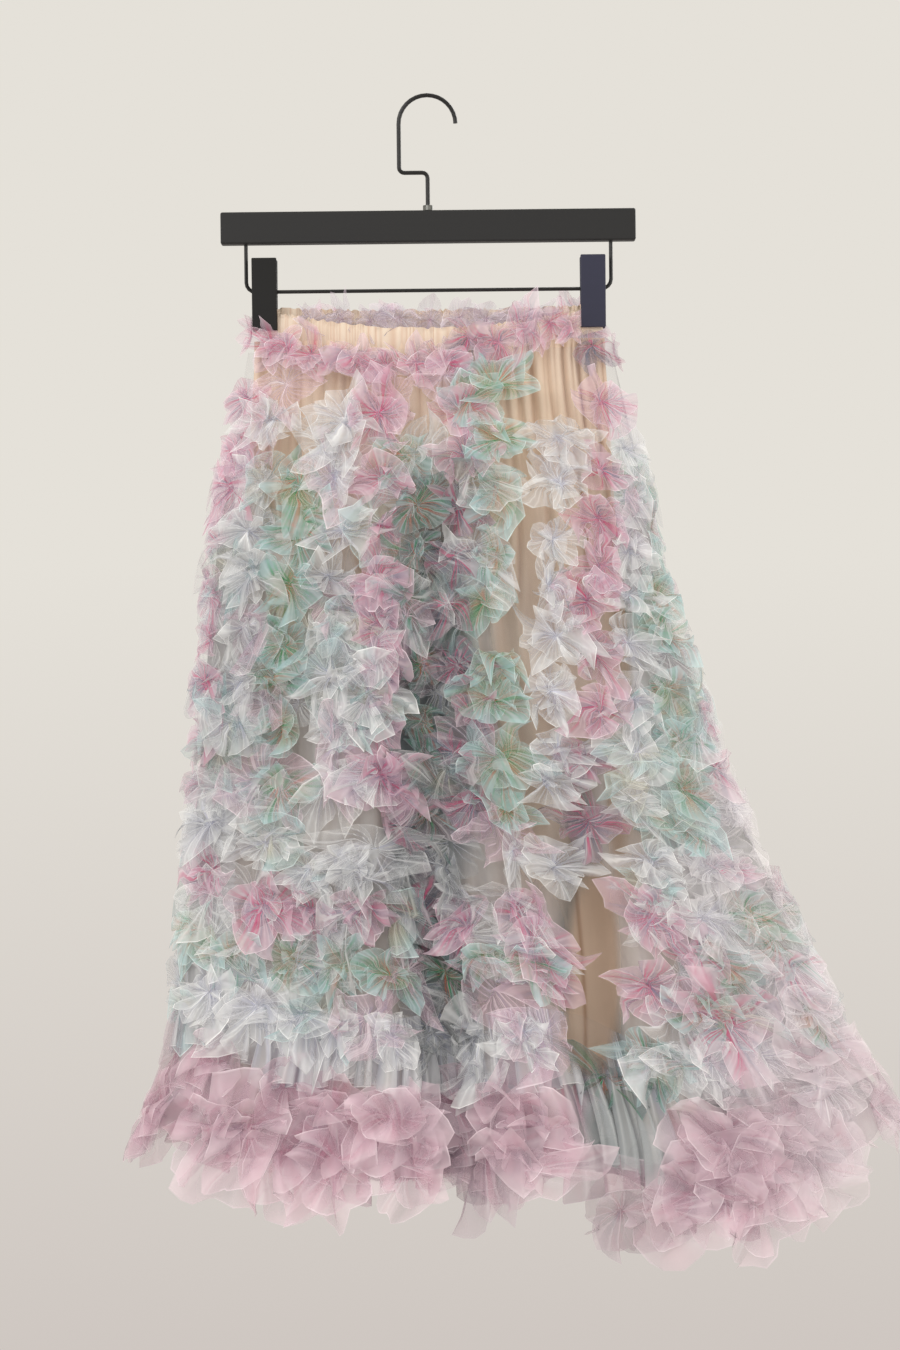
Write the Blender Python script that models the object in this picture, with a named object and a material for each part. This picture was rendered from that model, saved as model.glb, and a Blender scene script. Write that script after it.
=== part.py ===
"""A petal skirt hanging from a two-clip hanger.

The skirt is a flattened tube. An elastic waistband is pinched by the two clips, and from it hang a
gathered lining and, over it, a sheer layer that carries rows of pinched petal rosettes. A frill of
petals goes round the waist and a deeper one round the hem.

Units are metres, +Z is up and the front faces -Y. The origin is under the top of the hanger's hook,
where the hook rests on what carries it.
"""

import math
from collections import namedtuple

import bmesh
import bpy
from mathutils import Vector
from mathutils.geometry import delaunay_2d_cdt

SEAM_GAP = 0.0003  # between sewn pieces and between a piece and its seat

# Hanger
BAR_LENGTH = 0.350
BAR_HEIGHT = 0.027
BAR_DEPTH = 0.012
BAR_TOP = -0.096
BAR_EDGE = 0.0015  # bevel along the bar's edges

HOOK_WIRE = 0.0036  # diameter
HOOK_RADIUS = 0.024  # of the half circle, to the middle of the wire
HOOK_SHOULDER = -0.0636  # height of the sideways step in the wire
HOOK_BEND = 0.0045  # radius of the two bends at the step

COLLAR_RADIUS = 0.0042
COLLAR_HEIGHT = 0.0042

RAIL_WIRE = 0.0032  # diameter
RAIL_HALF = 0.154  # from the middle to each upright
RAIL_Z = -0.163
RAIL_BEND = 0.008

CLIP_X = 0.1385
CLIP_WIDTH = 0.021
CLIP_TOP = -0.135
CLIP_BOTTOM = -0.196
JAW_DEPTH = 0.0040
JAW_EDGE = 0.0009  # bevel
JAW_BITE = 0.00255  # from the middle plane to a jaw's inner face at its bottom
SLEEVE_RADIUS = 0.0039  # the spring's tube, which turns on the rail
SLEEVE_LENGTH = 0.015

# Waistband
BAND_TOP = -0.176
BAND_HEIGHT = 0.022
BAND_DIP_FRONT = 0.020  # how far the slack front sags between the clips
BAND_DIP_BACK = 0.003
BAND_WALL = 0.0016
BAND_PUFF = 0.0004  # the casing bulges over its elastic
BAND_GATHERS = 36  # on each side
BAND_GATHER_DEPTH = 0.0005
WAIST_HALF = 0.146
WAIST_FRONT = 0.010  # depth of the ring ahead of the middle plane
WAIST_BACK = 0.0035
GRIP_HALF = 0.0005  # the same depth where the jaws squeeze it
GRIP_FROM, GRIP_TO = 0.116, 0.127  # the squeeze comes in between these distances from the middle
GRIP_ROUNDING = 0.2  # share of the half width over which the squeezed cloth closes at a side seam
FLAT_FROM = 0.112  # the band's gathers fade out from here to the clips
WAIST_EASE = 0.060  # below the waistband the rings take this far to reach their own shape

# Cloth
LINING_WALL = 0.0014
LINING_GATHERS = 22  # on each side
LINING_GATHER_DEPTH = 0.0022
LINING_GATHER_FULL = 0.040  # below the band, where the gathers have their full depth
LINING_CROWDED = 0.008  # gathers are shallower where the lining is nearer the middle plane than this
LINING_SEAM = 0.05  # share of each side next to a side seam where the gathers fade out
LINING_ROWS = 7
LINING_ROW_SPREAD = 1.25  # above 1, rows are closer together at the top
NET_WALL = 0.0030  # the sheer layer with the flat middles of its rosettes
NET_OFFSET = 0.0022  # of the sheer layer's inner face from the lining's, at the waist
NET_COLUMNS = 48  # on each side, shared by what is sewn to it
NET_ROWS = 10
FRILL_WALL = 0.0020
FRILL_CURVE = 1.3  # above 1, a frill lifts away later
FRILL_OFFSET = NET_WALL + 0.0008
WAIST_FRILL_LIFT = 0.009  # of the waist frill's lower edge
WAIST_FRILL_TOP = 0.003  # how far below the waistband it starts
WAIST_FRILL_LOW = 0.034  # how far below the waistband it ends
WAIST_RUFFLE_DEPTH = 0.0050
WAIST_SCALLOP = 0.004
HEM_FLARE = 0.020
HEM_FRILL_HEIGHT = 0.088
HEM_RUFFLE_DEPTH = 0.014
HEM_SCALLOP = 0.012
RUFFLES = NET_COLUMNS // 8  # waves of each frill, on each side, with two scallops to a wave
LINING_HEM = -0.868

ROSETTE_SIDES = 6
ROSETTE_RIM = (0.016, 0.008)  # the rim stands out by these in turn
ROSETTE_MIDDLE = 0.001
BACK_RELIEF = 0.7  # the rosettes on the back are pressed flatter
SEAM_SHARE = 0.995  # columns end this near a side seam
TIER_END = 0.03  # share of a side next to its seam that a tier leaves free

# The sheer layer's outer points are joined in a flat plan, where a point keeps the others this far off
PLAN_WIDTH = 0.62
PLAN_HEIGHT = 0.70
PLAN_MARGIN = 0.010  # from the plan's edge
MIDDLE_CLEAR = 0.55  # of a rosette's radius
RIM_CLEAR = 0.36  # of a rosette's radius
PLAIN_CLEAR = 0.022
WALK_STEPS = 6  # steps in which a distance round a ring is measured
WALK_TURN = 0.002
SAME_POINT = 1e-7

# One row for each section, at equal steps down from SECTION_TOP: the two sides and the depths.
SECTION_TOP = -0.170
SECTION_STEP = 0.085
Section = namedtuple("Section", "left right front back")
LINING_SECTIONS = [
    Section(-0.146, 0.146, 0.011, 0.0035),
    Section(-0.149, 0.150, 0.016, 0.005),
    Section(-0.153, 0.156, 0.020, 0.006),
    Section(-0.158, 0.164, 0.023, 0.007),
    Section(-0.163, 0.173, 0.025, 0.008),
    Section(-0.168, 0.183, 0.026, 0.009),
    Section(-0.173, 0.194, 0.027, 0.010),
    Section(-0.178, 0.205, 0.028, 0.011),
    Section(-0.183, 0.216, 0.029, 0.012),
    Section(-0.187, 0.226, 0.030, 0.013),
]
NET_SECTIONS = [
    Section(-0.150, 0.150, 0.016, 0.007),
    Section(-0.156, 0.158, 0.027, 0.010),
    Section(-0.172, 0.176, 0.040, 0.013),
    Section(-0.182, 0.190, 0.050, 0.016),
    Section(-0.190, 0.220, 0.057, 0.018),
    Section(-0.196, 0.245, 0.063, 0.020),
    Section(-0.204, 0.286, 0.068, 0.022),
    Section(-0.209, 0.324, 0.073, 0.024),
    Section(-0.215, 0.355, 0.077, 0.026),
    Section(-0.219, 0.368, 0.080, 0.028),
]

# The sheer layer's large folds. across is a share of the half width, from -1 at the left seam to 1.
# A fold goes in by its depth, or out where the depth is negative, from where it starts to where it is
# full.
Fold = namedtuple("Fold", "across_top across_hem width depth starts full")
FRONT_FOLDS = [
    Fold(0.12, -0.20, 0.100, 0.031, -0.25, -0.66),
    Fold(0.62, 0.24, 0.085, 0.031, -0.38, -0.82),
    Fold(0.84, 0.76, 0.075, 0.022, -0.55, -0.92),
    Fold(-0.66, -0.60, 0.080, 0.016, -0.35, -0.85),
    Fold(0.55, 0.50, 0.120, -0.016, -0.55, -0.93),
    Fold(-0.42, -0.38, 0.140, -0.010, -0.38, -0.85),
]
BACK_FOLDS = [
    Fold(-0.45, -0.52, 0.100, 0.008, -0.30, -0.90),
    Fold(0.05, 0.02, 0.100, 0.008, -0.30, -0.90),
    Fold(0.50, 0.56, 0.100, 0.008, -0.30, -0.90),
]

# Lower edge of the hem frill
HemPoint = namedtuple("HemPoint", "across z")
FRONT_HEM = [
    HemPoint(-1.00, -0.885),
    HemPoint(-0.75, -0.905),
    HemPoint(-0.45, -0.920),
    HemPoint(-0.10, -0.920),
    HemPoint(0.10, -0.908),
    HemPoint(0.30, -0.933),
    HemPoint(0.55, -0.953),
    HemPoint(0.78, -0.928),
    HemPoint(1.00, -0.885),
]
BACK_HEM = [
    HemPoint(-1.00, -0.885),
    HemPoint(-0.50, -0.908),
    HemPoint(0.00, -0.916),
    HemPoint(0.50, -0.908),
    HemPoint(1.00, -0.885),
]

# Rosettes. Above the tiers they run down the skirt in columns, and a column that starts past 1 comes
# round from the other side. Below, they run round it in tiers at a height above the hem's edge.
Column = namedtuple("Column", "across_top across_low first pitch radius")
Tier = namedtuple("Tier", "rise pitch start radius")
COLUMN_TOP = -0.26
COLUMN_LOW = -0.63
TIERS_FROM = 0.300  # columns stop this far above the hem's edge
FRONT_COLUMNS = [
    Column(-0.96, -0.98, 0.040, 0.041, 0.022),
    Column(-0.86, -0.87, 0.062, 0.047, 0.022),
    Column(-0.66, -0.73, 0.052, 0.048, 0.023),
    Column(-0.50, -0.46, 0.064, 0.047, 0.024),
    Column(-0.30, -0.28, 0.044, 0.046, 0.024),
    Column(-0.10, -0.14, 0.066, 0.047, 0.023),
    Column(0.10, -0.01, 0.046, 0.046, 0.022),
    Column(0.31, 0.12, 0.040, 0.048, 0.024),
    Column(0.63, 0.26, 0.062, 0.047, 0.023),
    Column(0.88, 0.42, 0.038, 0.046, 0.022),
    Column(1.04, 0.60, 0.060, 0.047, 0.023),
    Column(1.13, 0.78, 0.040, 0.048, 0.024),
    Column(1.22, 0.93, 0.060, 0.046, 0.022),
]
BACK_COLUMNS = [
    Column(0.16 * turn - 0.80, 0.17 * turn - 0.85, 0.044 + 0.018 * (turn % 2), 0.048, 0.023)
    for turn in range(11)
]
TIERS = [
    Tier(0.268, 0.052, 0.026, 0.025),
    Tier(0.216, 0.056, 0.040, 0.027),
    Tier(0.164, 0.054, 0.020, 0.026),
    Tier(0.114, 0.052, 0.034, 0.025),
]
LargeRosette = namedtuple("LargeRosette", "across z radius")
FRONT_LARGE = [LargeRosette(-0.33, -0.585, 0.036), LargeRosette(-0.42, -0.498, 0.033)]

# Colours
NUDE = (0.62, 0.40, 0.26)
ROSE = (0.62, 0.33, 0.42)
PALE = (0.62, 0.64, 0.64)
BLACK = (0.025, 0.025, 0.027)
STEEL = (0.30, 0.30, 0.31)


def mix(a, b, share):
    return a + (b - a) * share


def ease(low, high, value):
    """0 up to low, 1 from high, smooth between."""
    share = min(1.0, max(0.0, (value - low) / (high - low)))
    return share * share * (3.0 - 2.0 * share)


def smooth_between(before, start, end, after, share):
    """Catmull-Rom curve from start to end."""
    rise, fall = (end - before) / 2, (after - start) / 2
    square, cube = share * share, share * share * share
    return (
        (2 * cube - 3 * square + 1) * start
        + (cube - 2 * square + share) * rise
        + (3 * square - 2 * cube) * end
        + (cube - square) * fall
    )


def section_at(sections, z):
    """The ring's sides and depths at height z."""
    last = len(sections) - 1
    place = min(max((SECTION_TOP - z) / SECTION_STEP, 0.0), last - 1e-6)
    row = int(place)
    near = [sections[min(max(row + step, 0), last)] for step in (-1, 0, 1, 2)]
    return Section(*(smooth_between(*values, place - row) for values in zip(*near)))


def across_of(turn):
    """Position across the skirt. turn goes 0 to 1 over the front, and 1 to 2 back over the back."""
    return -math.cos(math.pi * turn)


def turn_of(across, back):
    share = math.acos(max(-1.0, min(1.0, -across))) / math.pi
    return 2.0 - share if back else share


def band_bottom(turn):
    dip = BAND_DIP_FRONT if turn <= 1.0 else BAND_DIP_BACK
    return BAND_TOP - BAND_HEIGHT - dip * math.sin(math.pi * turn) ** 2


def hem_edge(turn):
    """Lower edge of the hem frill, before its scallops."""
    across = across_of(turn)
    points = FRONT_HEM if turn <= 1.0 else BACK_HEM
    for start, end in zip(points, points[1:]):
        if across <= end.across:
            return mix(start.z, end.z, ease(start.across, end.across, across))
    return points[-1].z


def fold_depth(turn, z):
    across = across_of(turn)
    total = 0.0
    for fold in FRONT_FOLDS if turn <= 1.0 else BACK_FOLDS:
        grown = ease(0.0, 1.0, (fold.starts - z) / (fold.starts - fold.full))
        middle = mix(fold.across_top, fold.across_hem, grown)
        total += fold.depth * grown * math.exp(-(((across - middle) / fold.width) ** 2))
    return total


def ring_point(sections, turn, z, folded):
    """A point of a cloth ring and the level direction that points out of it there."""
    own = section_at(sections, z)
    loose = ease(0.0, WAIST_EASE, band_bottom(turn) - z)
    left, right = mix(-WAIST_HALF, own.left, loose), mix(WAIST_HALF, own.right, loose)
    half = (right - left) / 2
    front = turn <= 1.0
    depth = mix(WAIST_FRONT, own.front, loose) if front else mix(WAIST_BACK, own.back, loose)
    across, bulge = across_of(turn), abs(math.sin(math.pi * turn))
    side = -1.0 if front else 1.0
    x = (left + right) / 2 + half * across
    y = side * depth * bulge
    if folded:
        y -= side * bulge * fold_depth(turn, z)
    held = (1.0 - loose) * ease(GRIP_FROM, GRIP_TO, abs(x))
    y = mix(y, side * GRIP_HALF * min(1.0, bulge / GRIP_ROUNDING), held) + side * SEAM_GAP / 2
    outward = Vector((across / half, side * bulge / depth, 0.0))
    return Vector((x, y, z)), outward.normalized()


def material(name, colour, roughness, metallic=0.0):
    made = bpy.data.materials.new(name)
    made.use_nodes = True
    shader = made.node_tree.nodes["Principled BSDF"]
    shader.inputs["Base Color"].default_value = (*colour, 1.0)
    shader.inputs["Roughness"].default_value = roughness
    shader.inputs["Metallic"].default_value = metallic
    return made


def link(name, data, finish):
    made = bpy.data.objects.new(name, data)
    data.materials.append(finish)
    bpy.context.scene.collection.objects.link(made)
    return made


def flat_grid(turns, shares):
    """Points (turn, share, raised) and quads of a plain sheet."""
    points = [(turn, share, 0.0) for share in shares for turn in turns]
    wide = len(turns)
    faces = [
        (row * wide + col, row * wide + col + 1, (row + 1) * wide + col + 1, (row + 1) * wide + col)
        for row in range(len(shares) - 1)
        for col in range(wide - 1)
    ]
    return points, faces


def cloth(name, inner, outer, place, finish, smooth=True):
    """One closed wall. inner and outer are flat sheets with the same edge, joined while they are flat.
    place(turn, share, level) then gives each point's own position. level is 0 on the inner sheet, and on
    the outer one it is 1 and how far the point is raised."""
    bm = bmesh.new()
    for level, (points, faces) in enumerate((inner, outer)):
        made = [bm.verts.new((turn, share, level + raised)) for turn, share, raised in points]
        for face in faces:
            bm.faces.new([made[corner] for corner in face])
    bmesh.ops.bridge_loops(bm, edges=[edge for edge in bm.edges if edge.is_boundary])
    for vert in bm.verts:
        vert.co = place(*vert.co)
    bmesh.ops.recalc_face_normals(bm, faces=bm.faces)
    if bm.calc_volume(signed=True) < 0:
        bmesh.ops.reverse_faces(bm, faces=bm.faces)
    mesh = bpy.data.meshes.new(name)
    bm.to_mesh(mesh)
    bm.free()
    if smooth:
        mesh.shade_smooth()
    return link(name, mesh, finish)


def even(start, count):
    """count equal steps over the front, start 0, or over the back, start 1."""
    return [start + step / count for step in range(count + 1)]


def waistband(name, start, finish):
    turns = even(start, 2 * BAND_GATHERS)

    def place(turn, share, level):
        z = band_bottom(turn) + BAND_HEIGHT * (1.0 - share)
        point, outward = ring_point(LINING_SECTIONS, turn, z, False)
        slack = 1.0 - ease(FLAT_FROM, GRIP_TO, abs(point.x))
        gather = math.cos(math.pi * 2 * BAND_GATHERS * turn) * BAND_GATHER_DEPTH * slack
        puff = BAND_PUFF * slack * math.sin(math.pi * share)
        return point + outward * (level * (BAND_WALL + gather + puff))

    sheet = flat_grid(turns, [0.0, 0.5, 1.0])
    return cloth(name, sheet, sheet, place, finish)


def lining(name, start, finish):
    turns = even(start, 2 * LINING_GATHERS)
    shares = [(row / LINING_ROWS) ** LINING_ROW_SPREAD for row in range(LINING_ROWS + 1)]

    def place(turn, share, level):
        top = band_bottom(turn) - SEAM_GAP
        z = mix(top, LINING_HEM, share)
        point, outward = ring_point(LINING_SECTIONS, turn, z, False)
        from_seam = 0.5 - abs(turn - start - 0.5)
        depth = LINING_GATHER_DEPTH * ease(0.0, LINING_GATHER_FULL, top - z)
        depth *= ease(0.0, LINING_SEAM, from_seam) * min(1.0, abs(point.y) / LINING_CROWDED)
        gather = math.cos(math.pi * 2 * LINING_GATHERS * turn) * depth
        return point + outward * (gather + level * LINING_WALL)

    sheet = flat_grid(turns, shares)
    return cloth(name, sheet, sheet, place, finish)


def net_height(turn, share):
    """Height of the sheer layer's row at a share of its length, from the waistband down."""
    return mix(band_bottom(turn) - SEAM_GAP, hem_edge(turn) + HEM_FRILL_HEIGHT, share)


def waist_frill_bottom(turn):
    return band_bottom(turn) - WAIST_FRILL_LOW


def net_share(turn, z):
    top, low = net_height(turn, 0.0), net_height(turn, 1.0)
    return (top - z) / (top - low)


def net_point(turn, z):
    point, outward = ring_point(NET_SECTIONS, turn, z, True)
    return point + outward * NET_OFFSET, outward


def turn_beside(turn, z, reach):
    """The turn that lies reach metres further round the ring."""
    for _ in range(WALK_STEPS):
        here, _ = net_point(turn, z)
        there, _ = net_point(turn + WALK_TURN, z)
        turn += reach / WALK_STEPS / (there - here).length * WALK_TURN
    return turn


def rosettes(back):
    """Middle and radius of each rosette of one side: (turn, z, radius)."""
    found = []
    for column in BACK_COLUMNS if back else FRONT_COLUMNS:
        z = waist_frill_bottom(turn_of(column.across_top, back)) - column.first
        while True:
            along = (COLUMN_TOP - z) / (COLUMN_TOP - COLUMN_LOW)
            across = mix(column.across_top, column.across_low, along)
            turn = turn_of(across, back)
            if z < hem_edge(turn) + TIERS_FROM:
                break
            if abs(across) < SEAM_SHARE:
                found.append((turn, z, column.radius))
            z -= column.pitch
    for tier in TIERS:
        turn = 1.0 if back else 0.0
        end = turn + 1.0 - TIER_END
        turn = turn_beside(turn + WALK_TURN, hem_edge(turn) + tier.rise, tier.start)
        while turn < end:
            found.append((turn, hem_edge(turn) + tier.rise, tier.radius))
            turn = turn_beside(turn, hem_edge(turn) + tier.rise, tier.pitch)
    if not back:
        for large in FRONT_LARGE:
            found.append((turn_of(large.across, False), large.z, large.radius))
    return found


def petal_layer(name, back, finish):
    """The sheer layer. Its outer face is raised at each rosette's rim over a plain inside."""
    start = 1.0 if back else 0.0
    turns = even(start, NET_COLUMNS)
    inner = flat_grid(turns, [row / NET_ROWS for row in range(NET_ROWS + 1)])
    points = [p for p in inner[0] if p[0] in (start, start + 1.0) or p[1] in (0.0, 1.0)]
    points += [(turn, net_share(turn, waist_frill_bottom(turn)), 0.0) for turn in turns[1:-1]]

    def plan(point):
        return Vector(((point[0] - start) * PLAN_WIDTH, point[1] * PLAN_HEIGHT))

    taken = [(plan(point), PLAN_MARGIN) for point in points]
    scale = BACK_RELIEF if back else 1.0

    def add(turn, z, clear, raised):
        point = (turn, net_share(turn, z), raised)
        spot = plan(point)
        inside = start < turn < start + 1.0 and 0.0 < point[1] < 1.0
        if inside and all((spot - other).length > max(clear, own) for other, own in taken):
            taken.append((spot, clear))
            points.append(point)

    found = sorted(rosettes(back), key=lambda rosette: -rosette[2])
    for turn, z, radius in found:
        add(turn, z, MIDDLE_CLEAR * radius, ROSETTE_MIDDLE)
    for turn, z, radius in found:
        for side in range(ROSETTE_SIDES):
            angle = math.tau * (side + 0.5) / ROSETTE_SIDES
            beside = turn_beside(turn, z, radius * math.cos(angle))
            rim = scale * ROSETTE_RIM[side % len(ROSETTE_RIM)]
            add(beside, z + radius * math.sin(angle), RIM_CLEAR * radius, rim)
    for turn, share, _ in inner[0]:
        add(turn, net_height(turn, share), PLAIN_CLEAR, 0.0)

    _, _, faces, origin, _, _ = delaunay_2d_cdt([plan(point) for point in points], [], [], 0, SAME_POINT)
    outer = [points[own[0]] for own in origin]

    def place(turn, share, level):
        point, outward = net_point(turn, net_height(turn, share))
        return point + outward * (NET_WALL + level - 1.0 if level else 0.0)

    return cloth(name, inner, (outer, faces), place, finish, smooth=False)


def frill(name, start, span, offset, lift, ruffle, scallop, finish):
    """A ruffled strip. span(turn) gives its top and bottom heights, and offset is its inner face's from
    the sheer layer's at the top, from which its lower edge lifts away."""
    turns = even(start, NET_COLUMNS)

    def place(turn, share, level):
        top, bottom = span(turn)
        wave = math.sin(math.tau * RUFFLES * turn)
        z = mix(top, bottom + scallop * (0.5 - abs(wave)), share)
        point, outward = net_point(turn, z)
        stand = offset + lift * share ** FRILL_CURVE + ruffle * (wave + 1.0) / 2 * share
        return point + outward * (stand + level * FRILL_WALL)

    sheet = flat_grid(turns, [0.0, 0.35, 0.7, 1.0])
    return cloth(name, sheet, sheet, place, finish)


def waist_frill_span(turn):
    """From just under the waistband, clear of the clips."""
    return band_bottom(turn) - WAIST_FRILL_TOP, waist_frill_bottom(turn)


def hem_frill_span(turn):
    """From just under the sheer layer down to the hem's edge."""
    return net_height(turn, 1.0) - SEAM_GAP, hem_edge(turn)


def bevelled_box(name, size, place, edge, finish):
    bm = bmesh.new()
    bmesh.ops.create_cube(bm, size=1.0)
    bmesh.ops.scale(bm, vec=size, verts=bm.verts)
    bmesh.ops.bevel(bm, geom=bm.edges, offset=edge, segments=2, profile=0.5, affect="EDGES", material=-1)
    mesh = bpy.data.meshes.new(name)
    bm.to_mesh(mesh)
    bm.free()
    mesh.shade_smooth()
    mesh.set_sharp_from_angle(angle=math.radians(40))
    made = link(name, mesh, finish)
    made.location = place
    return made


def bend(corner, start, end, radius, steps=4):
    """Points of a rounded corner between two straight runs that meet at a right angle."""
    into, out = (corner - start).normalized(), (end - corner).normalized()
    centre = corner - into * radius + out * radius
    return [
        centre + into * radius * math.sin(angle) - out * radius * math.cos(angle)
        for angle in (math.pi / 2 * step / steps for step in range(steps + 1))
    ]


def wire(name, points, diameter, finish):
    curve = bpy.data.curves.new(name, "CURVE")
    curve.dimensions = "3D"
    curve.bevel_depth = diameter / 2
    curve.bevel_resolution = 2
    curve.use_fill_caps = True
    spline = curve.splines.new("POLY")
    spline.points.add(len(points) - 1)
    for spot, point in zip(spline.points, points):
        spot.co = (*point, 1.0)
    return link(name, curve, finish)


def hook(finish):
    middle = -(HOOK_RADIUS - HOOK_WIRE / 2)
    foot = Vector((0.0, 0.0, BAR_TOP + SEAM_GAP))
    inner = Vector((0.0, 0.0, HOOK_SHOULDER))
    outer = Vector((-HOOK_RADIUS, 0.0, HOOK_SHOULDER))
    rise = Vector((-HOOK_RADIUS, 0.0, middle))
    arc = [
        Vector((-HOOK_RADIUS * math.cos(angle), 0.0, middle + HOOK_RADIUS * math.sin(angle)))
        for angle in (math.pi * step / 16 for step in range(17))
    ]
    points = [foot, *bend(inner, foot, outer, HOOK_BEND), *bend(outer, inner, rise, HOOK_BEND), *arc]
    return wire("hanger_hook", points, HOOK_WIRE, finish)


def rail(finish):
    top = BAR_TOP - BAR_HEIGHT - SEAM_GAP
    ends = [Vector((side * RAIL_HALF, 0.0, top)) for side in (-1, 1)]
    corners = [Vector((side * RAIL_HALF, 0.0, RAIL_Z)) for side in (-1, 1)]
    points = [
        ends[0],
        *bend(corners[0], ends[0], corners[1], RAIL_BEND),
        *bend(corners[1], corners[0], ends[1], RAIL_BEND),
        ends[1],
    ]
    return wire("clip_rail", points, RAIL_WIRE, finish)


def tube(name, outer, inner, length, place, axis, finish, sides=16):
    """A short tube: the outline of its wall, spun round."""
    bm = bmesh.new()
    corners = [(inner, -length / 2), (outer, -length / 2), (outer, length / 2), (inner, length / 2)]
    profile = [bm.verts.new((radius, 0.0, height)) for radius, height in corners]
    edges = [bm.edges.new((profile[i], profile[(i + 1) % 4])) for i in range(4)]
    turn = {"cent": (0, 0, 0), "axis": (0, 0, 1), "angle": math.tau, "steps": sides}
    bmesh.ops.spin(bm, geom=profile + edges, use_merge=True, **turn)
    bmesh.ops.recalc_face_normals(bm, faces=bm.faces)
    if bm.calc_volume(signed=True) < 0:
        bmesh.ops.reverse_faces(bm, faces=bm.faces)
    mesh = bpy.data.meshes.new(name)
    bm.to_mesh(mesh)
    bm.free()
    mesh.shade_smooth()
    mesh.set_sharp_from_angle(angle=math.radians(40))
    made = link(name, mesh, finish)
    made.location = place
    if axis == "X":
        made.rotation_euler = (0.0, math.pi / 2, 0.0)
    return made


def clip(name, x, plastic, metal):
    """Two jaws that lean together at the bottom, and the spring's tube between them on the rail."""
    height = CLIP_TOP - CLIP_BOTTOM
    over_rail = SLEEVE_RADIUS + SEAM_GAP
    lean = math.atan2(over_rail - JAW_BITE, RAIL_Z - CLIP_BOTTOM)
    for word, side in (("front", -1.0), ("back", 1.0)):
        half = Vector((0.0, side * math.sin(lean), math.cos(lean))) * height / 2
        bite = Vector((x, side * JAW_BITE, CLIP_BOTTOM))
        thick = Vector((0.0, side * math.cos(lean), -math.sin(lean))) * JAW_DEPTH / 2
        size = (CLIP_WIDTH, JAW_DEPTH, height)
        jaw = bevelled_box(f"{name}_{word}_jaw", size, bite + half + thick, JAW_EDGE, plastic)
        jaw.rotation_euler = (-side * lean, 0.0, 0.0)
    bore = RAIL_WIRE / 2 + SEAM_GAP
    tube(f"{name}_spring", SLEEVE_RADIUS, bore, SLEEVE_LENGTH, (x, 0.0, RAIL_Z), "X", metal)


def build():
    for old in list(bpy.data.objects):
        bpy.data.objects.remove(old)

    black = material("black_plastic", BLACK, 0.45)
    painted = material("black_wire", BLACK, 0.35, 0.2)
    steel = material("steel", STEEL, 0.35, 0.9)
    nude = material("nude_lining", NUDE, 0.55)
    pale = material("sheer_petals", PALE, 0.7)
    rose = material("rose_petals", ROSE, 0.7)

    bar_middle = (0.0, 0.0, BAR_TOP - BAR_HEIGHT / 2)
    bevelled_box("hanger_bar", (BAR_LENGTH, BAR_DEPTH, BAR_HEIGHT), bar_middle, BAR_EDGE, black)
    hook(painted)
    bore = HOOK_WIRE / 2 + SEAM_GAP
    collar_middle = (0.0, 0.0, BAR_TOP + SEAM_GAP + COLLAR_HEIGHT / 2)
    tube("hook_collar", COLLAR_RADIUS, bore, COLLAR_HEIGHT, collar_middle, "Z", steel)
    rail(painted)
    clip("left_clip", -CLIP_X, black, steel)
    clip("right_clip", CLIP_X, black, steel)

    for word, start in (("front", 0.0), ("back", 1.0)):
        waistband(f"waistband_{word}", start, nude)
        lining(f"lining_{word}", start, nude)
        petal_layer(f"petal_layer_{word}", start > 0.5, pale)
        waist = (waist_frill_span, FRILL_OFFSET, WAIST_FRILL_LIFT, WAIST_RUFFLE_DEPTH, WAIST_SCALLOP)
        frill(f"waist_frill_{word}", start, *waist, rose)
        hem = (hem_frill_span, 0.0, HEM_FLARE, HEM_RUFFLE_DEPTH, HEM_SCALLOP)
        frill(f"hem_frill_{word}", start, *hem, rose)


build()
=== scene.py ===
# %% [markdown]
# A petal skirt on a clip hanger.
# The real skirt is an elastic waist casing, a gathered nude lining and a sheer net. Some 650 rosettes
# are sewn on the net, of a thousand squares of tulle. Each square is pinched at its middle, so that it
# stands up.
# The measured solids of the skirt are loaded first. Each cloth is then laid on the wall of its solid.

import math
from collections import namedtuple

import bmesh
import bpy
import numpy as np
from mathutils import Euler, Matrix, Vector
from mathutils.bvhtree import BVHTree


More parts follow.
